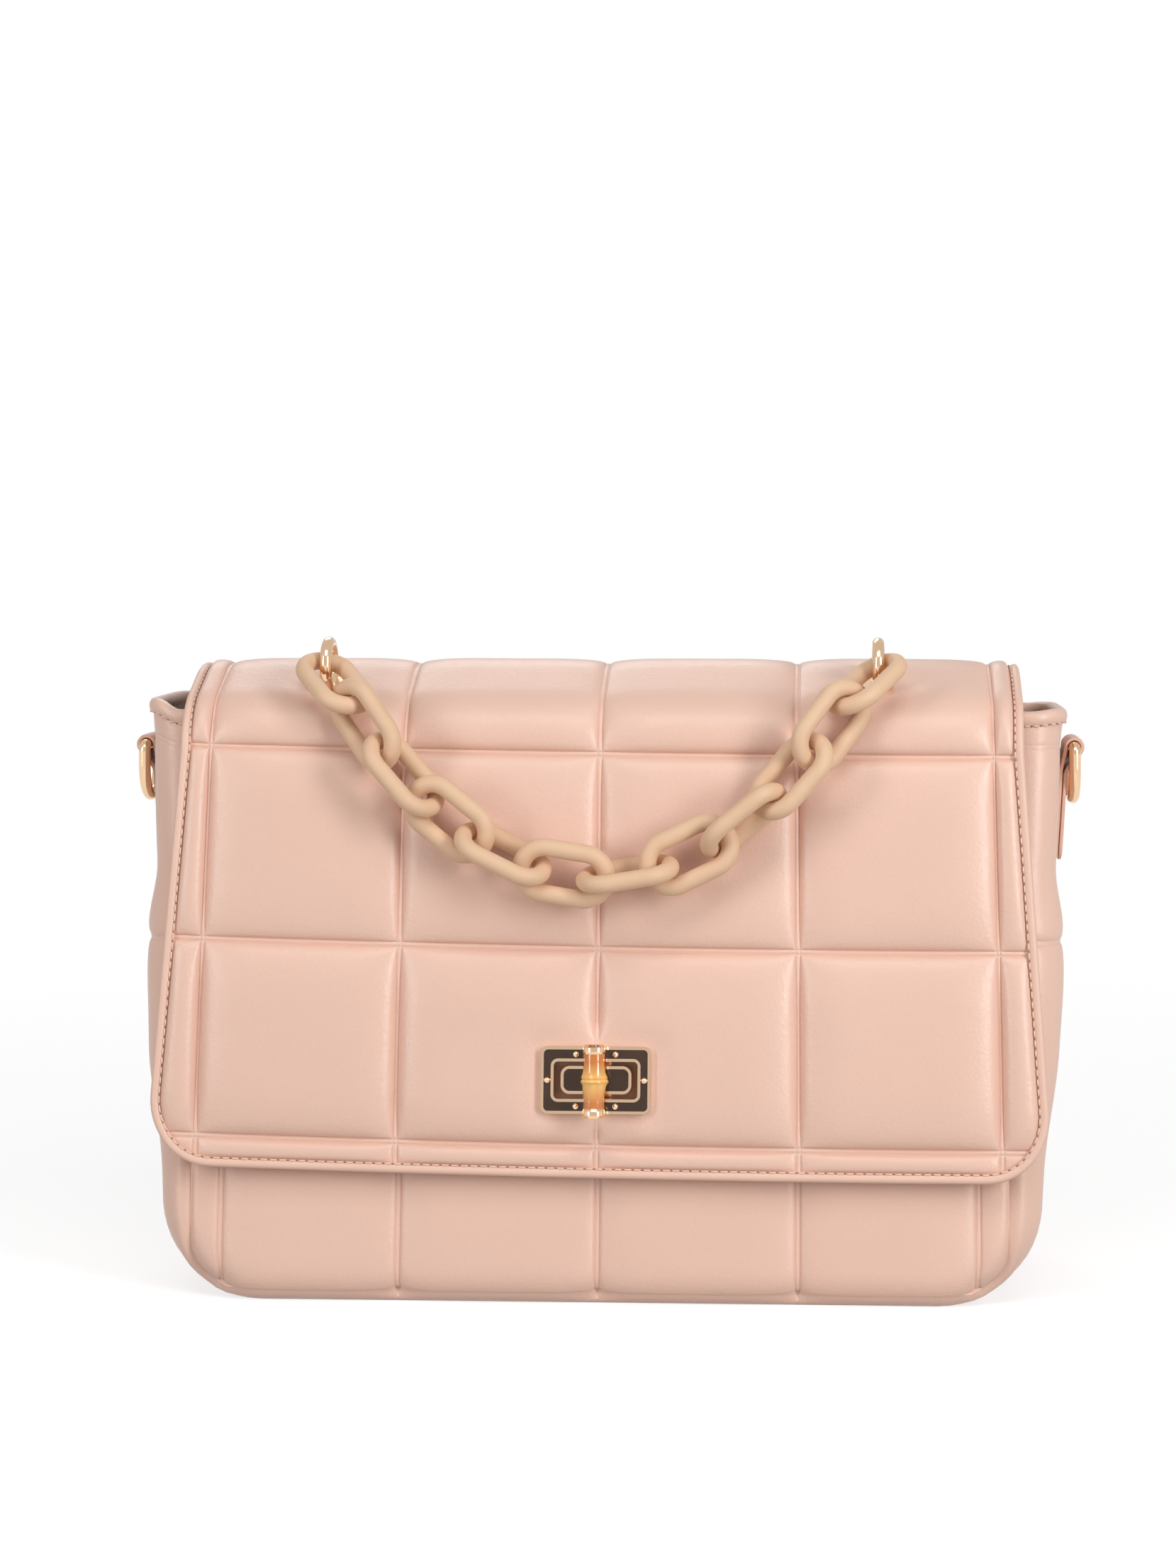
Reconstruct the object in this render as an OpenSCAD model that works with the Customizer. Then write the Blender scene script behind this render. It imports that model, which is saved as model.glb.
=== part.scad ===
// Quilted flap bag with a turn lock, a chunky link chain and two side rings.
// X runs across the bag, the flap and the lock face -Y, and the bag stands on z = 0.

/* [Body] */
// Half width of the body at the rim
rim_half_w = 162.4; // [150:0.2:175]
// Half width of the body just above its bottom corners
base_half_w = 153.5; // [148:0.5:160]
// Height of the rim above the table
rim_h = 202.8; // [200:0.2:203.6]
// Distance of the front wall from the middle plane, at the rim
rim_front = 25.5; // [22:0.5:26.5]
// Distance of the back wall from the middle plane, at the rim
rim_back = 36; // [34:0.5:36.5]
// How far the front wall leans out between the rim and the table
front_lean = 32.6; // [31:0.2:33]
// How far the back wall leans out between the rim and the table
back_lean = 17.8; // [10:0.2:24]
// Rounding of the upright and bottom edges
edge_r = 13; // [8:0.5:16]
// Radius of the two bottom corners, seen from the front
corner_r = 36; // [26:1:40]
// Inset of the front and back panels' side seams from the outline
seam_inset = 11; // [9:0.5:20]
// Height of the front and back panels' lower seams
seam_low_z = 5; // [3:0.5:15]
// Thickness of the leather panels
panel_t = 2.2; // [1.6:0.1:3]
// Thickness of the textile lining
lining_t = 0.8; // [0.5:0.1:1.2]
// Thickness of the stiffening board in the base
board_t = 2.4; // [1.5:0.1:4]
// Height of the folded band round the rim
band_h = 5; // [3:0.5:8]
// Thickness of the folded band's leather
band_t = 0.8; // [0.5:0.1:1.2]

/* [Flap] */
// Half width of the flap along its top
flap_top_half_w = 151; // [140:0.5:153]
// Half width of the flap at its waist, where the front bends to the top
flap_waist_half_w = 149.5; // [140:0.5:152]
// Half width of the flap at its lower edge
flap_low_half_w = 155; // [145:0.5:158]
// Height of the flap's lower edge at its middle
flap_low_z = 46; // [42:0.5:80]
// Fall of the lower edge from the middle to the right side
flap_slant = 2.5; // [0:0.5:5]
// Radius of the flap's two lower corners
flap_corner_r = 24; // [10:1:40]
// Thickness of the flap's outer leather
flap_skin_t = 1.4; // [1:0.1:2]
// Thickness of the flap's quilting foam
flap_foam_t = 3.2; // [2:0.1:4]
// Thickness of the flap's lining leather
flap_lining_t = 1.2; // [0.8:0.1:1.6]
// Width of the rolled edge round the flap
flap_roll_w = 2.7; // [2:0.1:5]
// Height of the strip that holds the flap on the back wall
anchor_h = 32; // [20:1:45]

/* [Quilting] */
// Distance between two upright channels
quilt_pitch = 69.3; // [64:0.1:69.6]
// Distance between two level channels
quilt_row = 67; // [60:0.5:67]
// Height of the lowest level channel
quilt_low_z = 56.5; // [54:0.5:60]
// Depth of the channels
quilt_depth = 2.9; // [0.5:0.1:2.9]

/* [Lock] */
// Height of the lock's centre
lock_z = 78.5; // [70:0.5:104]
// Width of the lock frame
frame_w = 37.8; // [34:0.1:44]
// Height of the lock frame
frame_h = 22.8; // [20:0.1:28]
// Width of the slot in the lock frame
slot_w = 28.9; // [26:0.1:30]
// Height of the slot in the lock frame
slot_h = 12.7; // [11:0.1:14]
// Length of the turning knob, with its caps
knob_l = 24.8; // [22:0.1:25.4]
// Diameter of the knob at its ends
knob_d = 7.5; // [6:0.1:8.5]
// Diameter of the knob's bulging node
knob_node_d = 9.8; // [8:0.1:11]

/* [Chain and rings] */
// Thickness of a chain link's bar
link_bar = 6.2; // [5:0.1:6.4]
// Outer length of a chain link
link_l = 36; // [35.6:0.1:37]
// Outer width of a chain link
link_w = 22.4; // [22:0.1:24]
// Distance between the middles of two links in a row
link_pitch = 22.4; // [22:0.1:22.6]
// Sag scale of the hanging chain
chain_sag = 69.3; // [66:0.1:72]
// Height of the chain's lowest link
chain_low_z = 148; // [144:0.5:154]
// Distance of the links' middles from the flap
chain_clear = 11.2; // [11:0.1:13]
// Distance of each arch ring from the middle
arch_x = 97.5; // [96:0.5:99]
// Thickness of the arch rings' wire
arch_wire = 4.2; // [3:0.1:4.4]
// Thickness of the side rings' wire
ring_wire = 4.2; // [3:0.1:4.4]
// Inner width of the side rings
ring_gap = 18.6; // [18.4:0.1:24]
// Height of the side rings, bar to bar
ring_drop = 18.8; // [14:0.1:24]

/* [Hidden] */
LINKS = 12;
LINK_NAMES = [for (i = [1:LINKS]) str("chain_link_", i < 10 ? "0" : "", i)];

leather = "#e3bfae";
leather_edge = "#cf9f86";
textile = "#c9a896";
foam_white = "#e8e2da";
board_grey = "#8a8078";
gold = "#d8b48a";
enamel = "#2c1c16";
amber = "#b5651d";
resin = "#d2ac86";

ball_steps = 24;
curve_steps = 48;
arc_steps = 8;
eps = 0.01;
tall = 300;

// The bag's middle plane lies behind the origin, so that the whole stands centred on it.
bag_y = 9.7;
module in_place() translate([0, bag_y, 0]) children();

// Vectors and rounded paths, from the bottom up or from the left round to the right

function unit(v) = v / norm(v);
function left_of(v) = [-v.y, v.x];
function turned(v, a) = [v.x * cos(a) - v.y * sin(a), v.x * sin(a) + v.y * cos(a)];
function run_of(p, i) = unit(p[i + 1] - p[i]);
function turn_side(p, i) =
    let (a = run_of(p, i - 1), b = run_of(p, i)) sign(a.x * b.y - a.y * b.x);
function shifted(p, t) = [for (i = [0:len(p) - 1])
    i == 0 ? p[0] + t * left_of(run_of(p, 0)) :
    i == len(p) - 1 ? p[i] + t * left_of(run_of(p, i - 1)) :
    let (a = left_of(run_of(p, i - 1)), b = left_of(run_of(p, i))) p[i] + t * (a + b) / (1 + a * b)];
function arc_at(before, corner, after, r, side) =
    let (a = unit(before - corner), b = unit(after - corner), half = acos(a * b) / 2,
        middle = corner + unit(a + b) * r / sin(half), start = corner + a * r / tan(half) - middle)
    [for (k = [0:arc_steps]) middle + turned(start, side * (180 - 2 * half) * k / arc_steps)];
function rounded(p, radii, t) = let (q = shifted(p, t), last = len(p) - 1) concat([q[0]],
    [for (i = [1:last - 1], point = arc_at(q[i - 1], q[i], q[i + 1],
        radii[i] - turn_side(p, i) * t, turn_side(p, i))) point], [q[last]]);
function backwards(p) = [for (i = [len(p) - 1:-1:0]) p[i]];

// Places a flat outline of (y, z) points across the bag, or one of (x, z) points through it.
module across(w) translate([-w / 2, 0, 0]) rotate([90, 0, 90]) linear_extrude(w) children();
module through(d) translate([0, d / 2, 0]) rotate([90, 0, 0]) linear_extrude(d) children();
module both_sides() {
    children();
    mirror([1, 0, 0]) children();
}

// Body form: a rounded box that leans out towards its base

function front_y(z) = -rim_front - front_lean * (rim_h - z) / rim_h;
function back_y(z) = rim_back + back_lean * (rim_h - z) / rim_h;
function side_x(z) = rim_half_w - (rim_half_w - base_half_w) * (rim_h - z) / (rim_h - corner_r);
front_slope = atan(front_lean / rim_h);
back_slope = atan(back_lean / rim_h);
function wall_mid_y(face, z) = face == 0 ? front_y(z) + edge_r / cos(front_slope)
    : back_y(z) - edge_r / cos(back_slope);

module ball(r) sphere(r / cos(180 / ball_steps), $fn = ball_steps);
module body_form(inset, top = rim_h) hull()
    for (side = [-1, 1], face = [0, 1]) {
        translate([side * (side_x(top) - edge_r), wall_mid_y(face, top), top - eps])
            cylinder(h = eps, r = edge_r - inset, $fn = ball_steps);
        for (a = [0:22.5:90]) let (z = corner_r - (corner_r - edge_r) * sin(a))
            translate([side * (base_half_w - corner_r + (corner_r - edge_r) * cos(a)),
                wall_mid_y(face, z), z]) ball(edge_r - inset);
    }
module body_shell() difference() {
    body_form(0);
    body_form(panel_t, rim_h + 1);
}
module slab(low, high) translate([-tall, -tall, low]) cube([2 * tall, 2 * tall, high - low]);

// Outline of the front and back panels, inside the seams of the gusset
seam_x = base_half_w - seam_inset;
seam_z = seam_low_z;
seam_r = 14;
module seam_outline() {
    for (side = [-1, 1]) translate([side * (seam_x - seam_r), seam_z + seam_r])
        circle(seam_r, $fn = curve_steps);
    translate([seam_r - seam_x, seam_z]) square([2 * (seam_x - seam_r), seam_r + 1]);
    translate([-seam_x, seam_z + seam_r]) square([2 * seam_x, rim_h]);
}
gusset_split_x = 110;

module front_panel() color(leather) intersection() {
    body_shell();
    translate([0, -tall / 2, 0]) through(tall) seam_outline();
}
module back_panel() color(leather) intersection() {
    body_shell();
    translate([0, tall / 2, 0]) through(tall) seam_outline();
}
module gusset_part(low_x, high_x) difference() {
    intersection() {
        body_shell();
        translate([low_x, -tall, -1]) cube([high_x - low_x, 2 * tall, tall]);
    }
    through(tall) seam_outline();
}
module left_gusset() color(leather) gusset_part(-tall, -gusset_split_x);
module right_gusset() color(leather) gusset_part(gusset_split_x, tall);
module base_panel() color(leather) gusset_part(-gusset_split_x, gusset_split_x);

board_x = 112;
board_front = 39;
board_back = 35;
board_r = 8;
module base_board() color(board_grey) translate([0, 0, panel_t]) linear_extrude(board_t) {
    for (x = [-1, 1], y = [-board_front + board_r, board_back - board_r])
        translate([x * (board_x - board_r), y]) circle(board_r, $fn = curve_steps);
    translate([-board_x, -board_front + board_r])
        square([2 * board_x, board_front + board_back - 2 * board_r]);
    translate([board_r - board_x, -board_front])
        square([2 * (board_x - board_r), board_front + board_back]);
}

lining_floor = panel_t + board_t;
module lining() color(textile) difference() {
    intersection() {
        body_form(panel_t);
        slab(lining_floor, rim_h);
    }
    intersection() {
        body_form(panel_t + lining_t, rim_h + 1);
        slab(lining_floor + lining_t, rim_h + 2);
    }
}

module rim_band() color(leather) difference() {
    intersection() {
        body_form(-band_t, rim_h + band_t);
        slab(rim_h - band_h, rim_h + band_t);
    }
    body_form(panel_t + lining_t + band_t, rim_h + 2);
    intersection() {
        difference() {
            body_form(0);
            body_form(panel_t + lining_t, rim_h + 1);
        }
        slab(0, rim_h);
    }
}

// Flap: its profile from the front edge up, over the top and down to the hinge

flap_profile = [[-62.7, 44], [-41.2, 205], [2, 224], [43, 208.5]];
flap_profile_radii = [0, 26, 40, 0];
flap_outline = [[-flap_top_half_w, tall], [-flap_top_half_w, 220], [-flap_waist_half_w, 191],
    [-flap_low_half_w, flap_low_z + flap_slant], [flap_low_half_w, flap_low_z - flap_slant],
    [flap_waist_half_w, 191], [flap_top_half_w, 220], [flap_top_half_w, tall]];
flap_outline_radii = [0, 40, 90, flap_corner_r, flap_corner_r, 90, 40, 0];
flap_t = flap_skin_t + flap_foam_t + flap_lining_t;
hinge_end = flap_profile[3];
hinge_run = run_of(flap_profile, 2);

function flap_line(t, path = flap_profile) = rounded(path, flap_profile_radii, t);
module flap_layer(outer_t, inner_t, inset, path = flap_profile) intersection() {
    across(2 * tall) polygon(concat(flap_line(-outer_t, path), backwards(flap_line(-inner_t, path))));
    through(tall) polygon(rounded(flap_outline, flap_outline_radii, inset));
}

// The lock's own frame: its middle on the flap's outer face, with z along the knob's axis
flap_slope = atan((flap_profile[1].x - flap_profile[0].x) / (flap_profile[1].y - flap_profile[0].y));
lock_y = flap_profile[0].x + (lock_z - flap_profile[0].y) * tan(flap_slope);
module at_lock() translate([0, lock_y, lock_z]) rotate([90 - flap_slope, 0, 0]) children();
panel_depth = (front_y(lock_z) - lock_y) * cos(flap_slope);

module rounded_plate(w, h, r, t) linear_extrude(t) rounded_rect(w, h, r);
module rounded_rect(w, h, r) {
    for (x = [-1, 1], y = [-1, 1]) translate([x * (w / 2 - r), y * (h / 2 - r)])
        circle(r, $fn = curve_steps);
    square([w - 2 * r, h], center = true);
    square([w, h - 2 * r], center = true);
}

frame_corner_r = 2.5;
slot_corner_r = 1.5;
frame_plate_t = 1.2;
frame_rim_w = 1;
frame_rim_t = 0.8;
enamel_t = 0.5;
collar_t = 0.8;
backing_t = 1;
module slot_cut(extra) translate([0, 0, -20])
    rounded_plate(slot_w + 2 * extra, slot_h + 2 * extra, slot_corner_r + extra, 40);

// Arch rings stand on the top of the flap, and the chain swings about their shared middle line.
arch_mid_r = 7.8;
arch_y = -27;
arch_z = 220;
arch_lean = atan((flap_profile[2].y - flap_profile[1].y) / (flap_profile[2].x - flap_profile[1].x));
arch_drop = ((arch_z - flap_profile[1].y) - (arch_y - flap_profile[1].x) * tan(arch_lean)) * cos(arch_lean);
arch_foot_r = 5.5;
arch_foot_rise = 0.7;
arch_stud_r = 2.5;
arch_screw_r = 1.2;
arch_washer_r = 4;
arch_washer_t = 0.8;
screw_head_r = 2.2;
screw_head_t = 0.8;
// Frame of an arch's foot: z points out of the flap, and z = 0 is its outer face
module at_arch_foot() for (side = [-1, 1]) translate([side * arch_x, arch_y, arch_z])
    rotate([arch_lean, 0, 0]) translate([0, 0, -arch_drop]) children();
module arch_pocket(r, low, high) at_arch_foot() translate([0, 0, low])
    cylinder(h = high - low, r = r, $fn = curve_steps);

// Quilting: pads that swell between channels, and skin of one thickness that follows them.
// A channel's side runs from its floor out to the crown of the pad, as (distance, share of the depth).
channel_side = [[0.8, 1], [2.5, 0.55], [6, 0.2], [13, -0.03]];
channel_depth = min(quilt_depth, flap_foam_t - 0.3);
channel_open = 2;
function channel_section(t) =
    let (right = [for (p = channel_side) [p.x, -channel_depth * p.y - t]],
        last = len(right) - 1, wide = right[last].x)
    concat(right, [[wide, channel_open - t], [-wide, channel_open - t]],
        [for (i = [last:-1:0]) [-right[i].x, right[i].y]]);
long_profile = [flap_profile[0] - 2 * run_of(flap_profile, 0), flap_profile[1], flap_profile[2],
    hinge_end + 2 * hinge_run];
module upright_channel(x, t) {
    section = channel_section(t);
    lines = [for (p = section) flap_line(p.y, long_profile)];
    n = len(section);
    last = len(lines[0]) - 1;
    polyhedron([for (k = [0:last], i = [0:n - 1]) [x + section[i].x, lines[i][k].x, lines[i][k].y]],
        concat([[for (i = [n - 1:-1:0]) i], [for (i = [0:n - 1]) last * n + i]],
        [for (k = [0:last - 1], i = [0:n - 1]) let (a = k * n + i, b = k * n + (i + 1) % n)
            [a, b, b + n, a + n]]));
}
module level_channel(z, t) translate([0, flap_profile[0].x + (z - flap_profile[0].y) * tan(flap_slope), z])
    rotate([90 - flap_slope, 0, 0]) rotate(-atan(flap_slant / flap_low_half_w))
    across(2 * tall) polygon(channel_section(t));
module channels(t) {
    for (k = [-2:2]) upright_channel(k * quilt_pitch, t);
    for (k = [0:2]) level_channel(quilt_low_z + k * quilt_row, t);
}

module flap_outer() color(leather) difference() {
    flap_layer(0, flap_skin_t + flap_foam_t - 0.2, flap_roll_w);
    channels(0);
    difference() {
        flap_layer(flap_skin_t, flap_t, flap_roll_w - 1, long_profile);
        channels(flap_skin_t);
    }
    at_lock() slot_cut(collar_t);
    arch_pocket(arch_foot_r, -flap_skin_t - 1, 3);
}
module flap_foam() color(foam_white) difference() {
    flap_layer(flap_skin_t, flap_skin_t + flap_foam_t, flap_roll_w);
    channels(flap_skin_t);
    at_lock() slot_cut(collar_t);
    arch_pocket(arch_foot_r, -flap_skin_t - 1, 3);
    arch_pocket(arch_stud_r, -flap_t - 3, 3);
}
module flap_lining() color(textile) difference() {
    flap_layer(flap_skin_t + flap_foam_t, flap_t, flap_roll_w);
    at_lock() slot_cut(collar_t);
    arch_pocket(arch_stud_r, -flap_t - 3, 3);
}
module flap_edge_roll() color(leather_edge) difference() {
    flap_layer(0, flap_t, 0);
    flap_layer(-1, flap_t + 1, flap_roll_w);
}

// Strip on the back wall that carries the flap, a fold's width below the hinge line
hinge_gap = 0.7;
module flap_anchor() color(leather) intersection() {
    across(2 * tall) polygon([
        hinge_end + hinge_gap * hinge_run,
        hinge_end + hinge_gap * hinge_run - flap_t * left_of(hinge_run),
        [back_y(rim_h - band_h) + band_t + 0.4, rim_h - band_h - 1],
        [back_y(rim_h - band_h - 2), rim_h - band_h - 2],
        [back_y(rim_h - anchor_h), rim_h - anchor_h],
        [back_y(rim_h - anchor_h) + 3, rim_h - anchor_h],
        [back_y(rim_h - anchor_h / 3) + 4, rim_h - anchor_h / 3]]);
    through(tall) translate([-seam_x, 0]) square([2 * seam_x, tall]);
}

// Side tabs and rings

tab_y = 4;
tab_w = 18;
tab_low_z = 149;
tab_t = 3.4;
tab_glue = 0.03;
ring_bar_x = 168.2;
ring_bar_z = 189.8;
ring_run = 0.05;
loop_r = ring_wire / 2 + ring_run + 2;
module tab() color(leather) translate([0, tab_y, 0]) through(tab_w) difference() {
    union() {
        translate([ring_bar_x, ring_bar_z]) circle(loop_r, $fn = curve_steps);
        polygon([[side_x(tab_low_z) + tab_glue, tab_low_z], [side_x(tab_low_z) + tab_t, tab_low_z],
            [side_x(ring_bar_z) + tab_t, ring_bar_z - loop_r], [ring_bar_x, ring_bar_z - loop_r],
            [ring_bar_x, ring_bar_z + loop_r], [side_x(ring_bar_z + 1) + tab_glue, ring_bar_z + 1]]);
    }
    translate([ring_bar_x, ring_bar_z]) circle(ring_wire / 2 + ring_run, $fn = curve_steps);
}
module right_tab() tab();
module left_tab() mirror([1, 0, 0]) tab();

ring_leg_y = (ring_gap + ring_wire) / 2;
ring_bend_r = ring_wire / 2 + 0.1;
module torus_part(mid_r, wire, angle) rotate_extrude(angle = angle, $fn = curve_steps)
    translate([mid_r, 0]) circle(wire / 2, $fn = curve_steps);
module side_ring() color(gold) translate([ring_bar_x, tab_y, ring_bar_z]) rotate([90, 0, 90]) {
    rotate([0, 90, 0]) cylinder(h = 2 * (ring_leg_y - ring_bend_r), d = ring_wire, center = true,
        $fn = curve_steps);
    for (side = [0, 1]) mirror([side, 0, 0]) {
        translate([ring_leg_y - ring_bend_r, -ring_bend_r]) torus_part(ring_bend_r, ring_wire, 90);
        translate([ring_leg_y, -ring_bend_r]) rotate([90, 0, 0])
            cylinder(h = ring_drop - ring_leg_y - ring_bend_r, d = ring_wire, $fn = curve_steps);
    }
    translate([0, ring_leg_y - ring_drop]) rotate(180) torus_part(ring_leg_y, ring_wire, 180);
}
module right_ring() side_ring();
module left_ring() mirror([1, 0, 0]) side_ring();

// Turn lock: base, inlay and post on the body, knob on the post, frame on the flap

base_w = 24.4;
base_h = 9.5;
base_r = 3;
base_foot_w = 32;
base_foot_h = 16;
base_foot_t = 1;
base_top = -0.4;
// The foot's lower edge just meets the front panel, which leans a degree more than the flap
base_low = 0.28 - panel_depth;
inlay_t = 0.8;
inlay_rim = 1;
post_r = 2.4;
post_run = 0.05;
knob_mid = 8.6;
boss_r = 3.6;
boss_low = 0.15;
washer_t = 0.5;
core_r = 1.5;
post_tip = knob_mid - core_r - 0.6;

module lock_base() color(gold) at_lock() difference() {
    union() {
        translate([0, 0, base_low]) rounded_plate(base_foot_w, base_foot_h, base_r, base_foot_t);
        translate([0, 0, base_low]) rounded_plate(base_w, base_h, base_r, base_top - base_low);
    }
    translate([0, 0, base_top - inlay_t])
        rounded_plate(base_w - 2 * inlay_rim, base_h - 2 * inlay_rim, base_r - inlay_rim, 5);
    translate([0, 0, base_low + base_foot_t]) cylinder(h = 20, r = post_r, $fn = curve_steps);
}
module lock_base_inlay() color(enamel) at_lock() difference() {
    translate([0, 0, base_top - inlay_t])
        rounded_plate(base_w - 2 * inlay_rim, base_h - 2 * inlay_rim, base_r - inlay_rim, inlay_t);
    translate([0, 0, -5]) cylinder(h = 20, r = post_r, $fn = curve_steps);
}
module lock_post() color(gold) at_lock() translate([0, 0, base_low + base_foot_t])
    cylinder(h = post_tip - base_low - base_foot_t, r = post_r, $fn = curve_steps);
module knob_washer() color(gold) at_lock() translate([0, 0, boss_low - washer_t]) difference() {
    cylinder(h = washer_t, r = boss_r + 0.5, $fn = curve_steps);
    translate([0, 0, -1]) cylinder(h = 3, r = post_r + post_run, $fn = curve_steps);
}
cap_l = 3.2;
cap_r = 4;
module knob_core() color(gold) at_lock() difference() {
    union() {
        translate([0, 0, boss_low]) cylinder(h = knob_mid - 1 - boss_low, r = boss_r, $fn = curve_steps);
        translate([0, 0, knob_mid]) rotate([90, 0, 0])
            cylinder(h = knob_l - 2 * cap_l + 2, r = core_r, center = true, $fn = curve_steps);
    }
    cylinder(h = post_tip + post_run, r = post_r + post_run, $fn = curve_steps);
}
// Bamboo profile, as (radius, height) from the middle node to the cap
grip_half = knob_l / 2 - cap_l;
grip_rise = [[knob_node_d / 2, 0.5], [knob_node_d / 2 - 0.4, 1.2], [knob_d / 2, 2.4],
    [knob_d / 2 - 0.2, grip_half * 0.6], [knob_d / 2, grip_half]];
module knob_grip() color(amber) at_lock() difference() {
    translate([0, 0, knob_mid]) rotate([90, 0, 0]) rotate_extrude($fn = curve_steps)
        polygon(concat([[core_r, grip_half], [core_r, -grip_half]],
            [for (i = [len(grip_rise) - 1:-1:0]) [grip_rise[i].x, -grip_rise[i].y]], grip_rise));
    translate([0, 0, -1]) cylinder(h = knob_mid, r = boss_r, $fn = curve_steps);
}
module knob_cap() color(gold) translate([0, 0, grip_half]) difference() {
    rotate_extrude($fn = curve_steps) polygon([[0, 0], [knob_d / 2 - 0.1, 0], [cap_r, 0.8],
        [cap_r, cap_l - 1], [cap_r - 1, cap_l], [0, cap_l]]);
    cylinder(h = 1, r = core_r, $fn = curve_steps);
}
module knob_cap_top() at_lock() translate([0, 0, knob_mid]) rotate([-90, 0, 0]) knob_cap();
module knob_cap_bottom() at_lock() translate([0, 0, knob_mid]) rotate([90, 0, 0]) knob_cap();

rivet_r = 1.2;
rivet_shank_r = 0.7;
rivet_x = 6.8;
rivet_y = 8.8;
rivet_side_x = 16.675;
module at_rivets() {
    for (x = [-1, 1], y = [-1, 1]) translate([x * rivet_x, y * rivet_y, 0]) children();
    for (x = [-1, 1]) translate([x * rivet_side_x, 0, 0]) children();
}
module lock_frame() color(gold) at_lock() difference() {
    union() {
        rounded_plate(frame_w, frame_h, frame_corner_r, frame_plate_t + frame_rim_t);
        translate([0, 0, -flap_t]) rounded_plate(slot_w + 2 * collar_t, slot_h + 2 * collar_t,
            slot_corner_r + collar_t, flap_t + 1);
    }
    slot_cut(0);
    translate([0, 0, frame_plate_t]) difference() {
        rounded_plate(frame_w - 2 * frame_rim_w, frame_h - 2 * frame_rim_w,
            frame_corner_r - frame_rim_w, 5);
        rounded_plate(slot_w + 2 * frame_rim_w, slot_h + 2 * frame_rim_w,
            slot_corner_r + frame_rim_w, 5);
    }
    at_rivets() translate([0, 0, -1]) cylinder(h = 5, r = rivet_shank_r, $fn = curve_steps);
}
module lock_frame_enamel() color(enamel) at_lock() translate([0, 0, frame_plate_t]) difference() {
    rounded_plate(frame_w - 2 * frame_rim_w, frame_h - 2 * frame_rim_w,
        frame_corner_r - frame_rim_w, enamel_t);
    slot_cut(frame_rim_w);
    at_rivets() translate([0, 0, -1]) cylinder(h = 5, r = rivet_shank_r, $fn = curve_steps);
}
module lock_rivets() color(gold) at_lock() at_rivets() {
    cylinder(h = frame_plate_t + enamel_t, r = rivet_shank_r, $fn = curve_steps);
    translate([0, 0, frame_plate_t + enamel_t]) intersection() {
        sphere(rivet_r, $fn = curve_steps);
        cylinder(h = rivet_r, r = 2 * rivet_r, $fn = curve_steps);
    }
}
module lock_backing() color(gold) at_lock() translate([0, 0, -flap_t - backing_t]) difference() {
    rounded_plate(frame_w - 2, frame_h - 2, frame_corner_r, backing_t);
    translate([0, 0, -1]) rounded_plate(slot_w, slot_h, slot_corner_r, 5);
}

module arch(side) color(gold) intersection() {
    difference() {
        union() {
            translate([side * arch_x, arch_y, arch_z]) rotate([0, 90, 0])
                torus_part(arch_mid_r, arch_wire, 360);
            arch_pocket(arch_foot_r, -flap_skin_t, arch_foot_rise);
            arch_pocket(arch_stud_r, -flap_t, 0);
        }
        arch_pocket(arch_screw_r, -flap_t - 1, -flap_skin_t);
        arch_pocket(3 * arch_foot_r, -flap_skin_t - 2 * arch_wire, -flap_skin_t - flap_t);
    }
    translate([side * arch_x - 20, -tall, 0]) cube([40, 2 * tall, tall]);
}
module left_arch() arch(-1);
module right_arch() arch(1);
module arch_washers() color(gold) difference() {
    arch_pocket(arch_washer_r, -flap_t - arch_washer_t, -flap_t);
    arch_pocket(arch_screw_r, -flap_t - 3, 0);
}
module arch_screws() color(gold) {
    arch_pocket(arch_screw_r, -flap_t - arch_washer_t, -flap_skin_t - 0.2);
    arch_pocket(screw_head_r, -flap_t - arch_washer_t - screw_head_t, -flap_t - arch_washer_t);
}

// Chain: a hanging curve laid along the flap, one link between each two of its points.
// Each link's turn about its own length is chosen so that it lies as it would in the hand.

link_turns = [-30, 45, -55, 20, -60, 15, -72, 0, 70, -40, 40, -40];
chain_line = rounded(flap_profile, flap_profile_radii, chain_clear);
function length_to(p, z, i = 0) = p[i + 1].y >= z
    ? norm(p[i + 1] - p[i]) * (z - p[i].y) / (p[i + 1].y - p[i].y)
    : norm(p[i + 1] - p[i]) + length_to(p, z, i + 1);
function part_at(p, d, i = 0) = let (l = norm(p[i + 1] - p[i]))
    d <= l || i == len(p) - 2 ? [p[i] + run_of(p, i) * d, run_of(p, i)] : part_at(p, d - l, i + 1);
function chain_rise(s) = sqrt(chain_sag * chain_sag + s * s) - chain_sag;
function chain_x(s) = chain_sag * ln(s / chain_sag + sqrt(s * s / (chain_sag * chain_sag) + 1));
function chain_part(s) = part_at(chain_line, length_to(chain_line, chain_low_z) + chain_rise(s));
function chain_point(s) = let (p = chain_part(s)[0]) [chain_x(s), p.x, p.y];
function chain_out(s) = let (t = chain_part(s)[1]) [0, -t.y, t.x];

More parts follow.
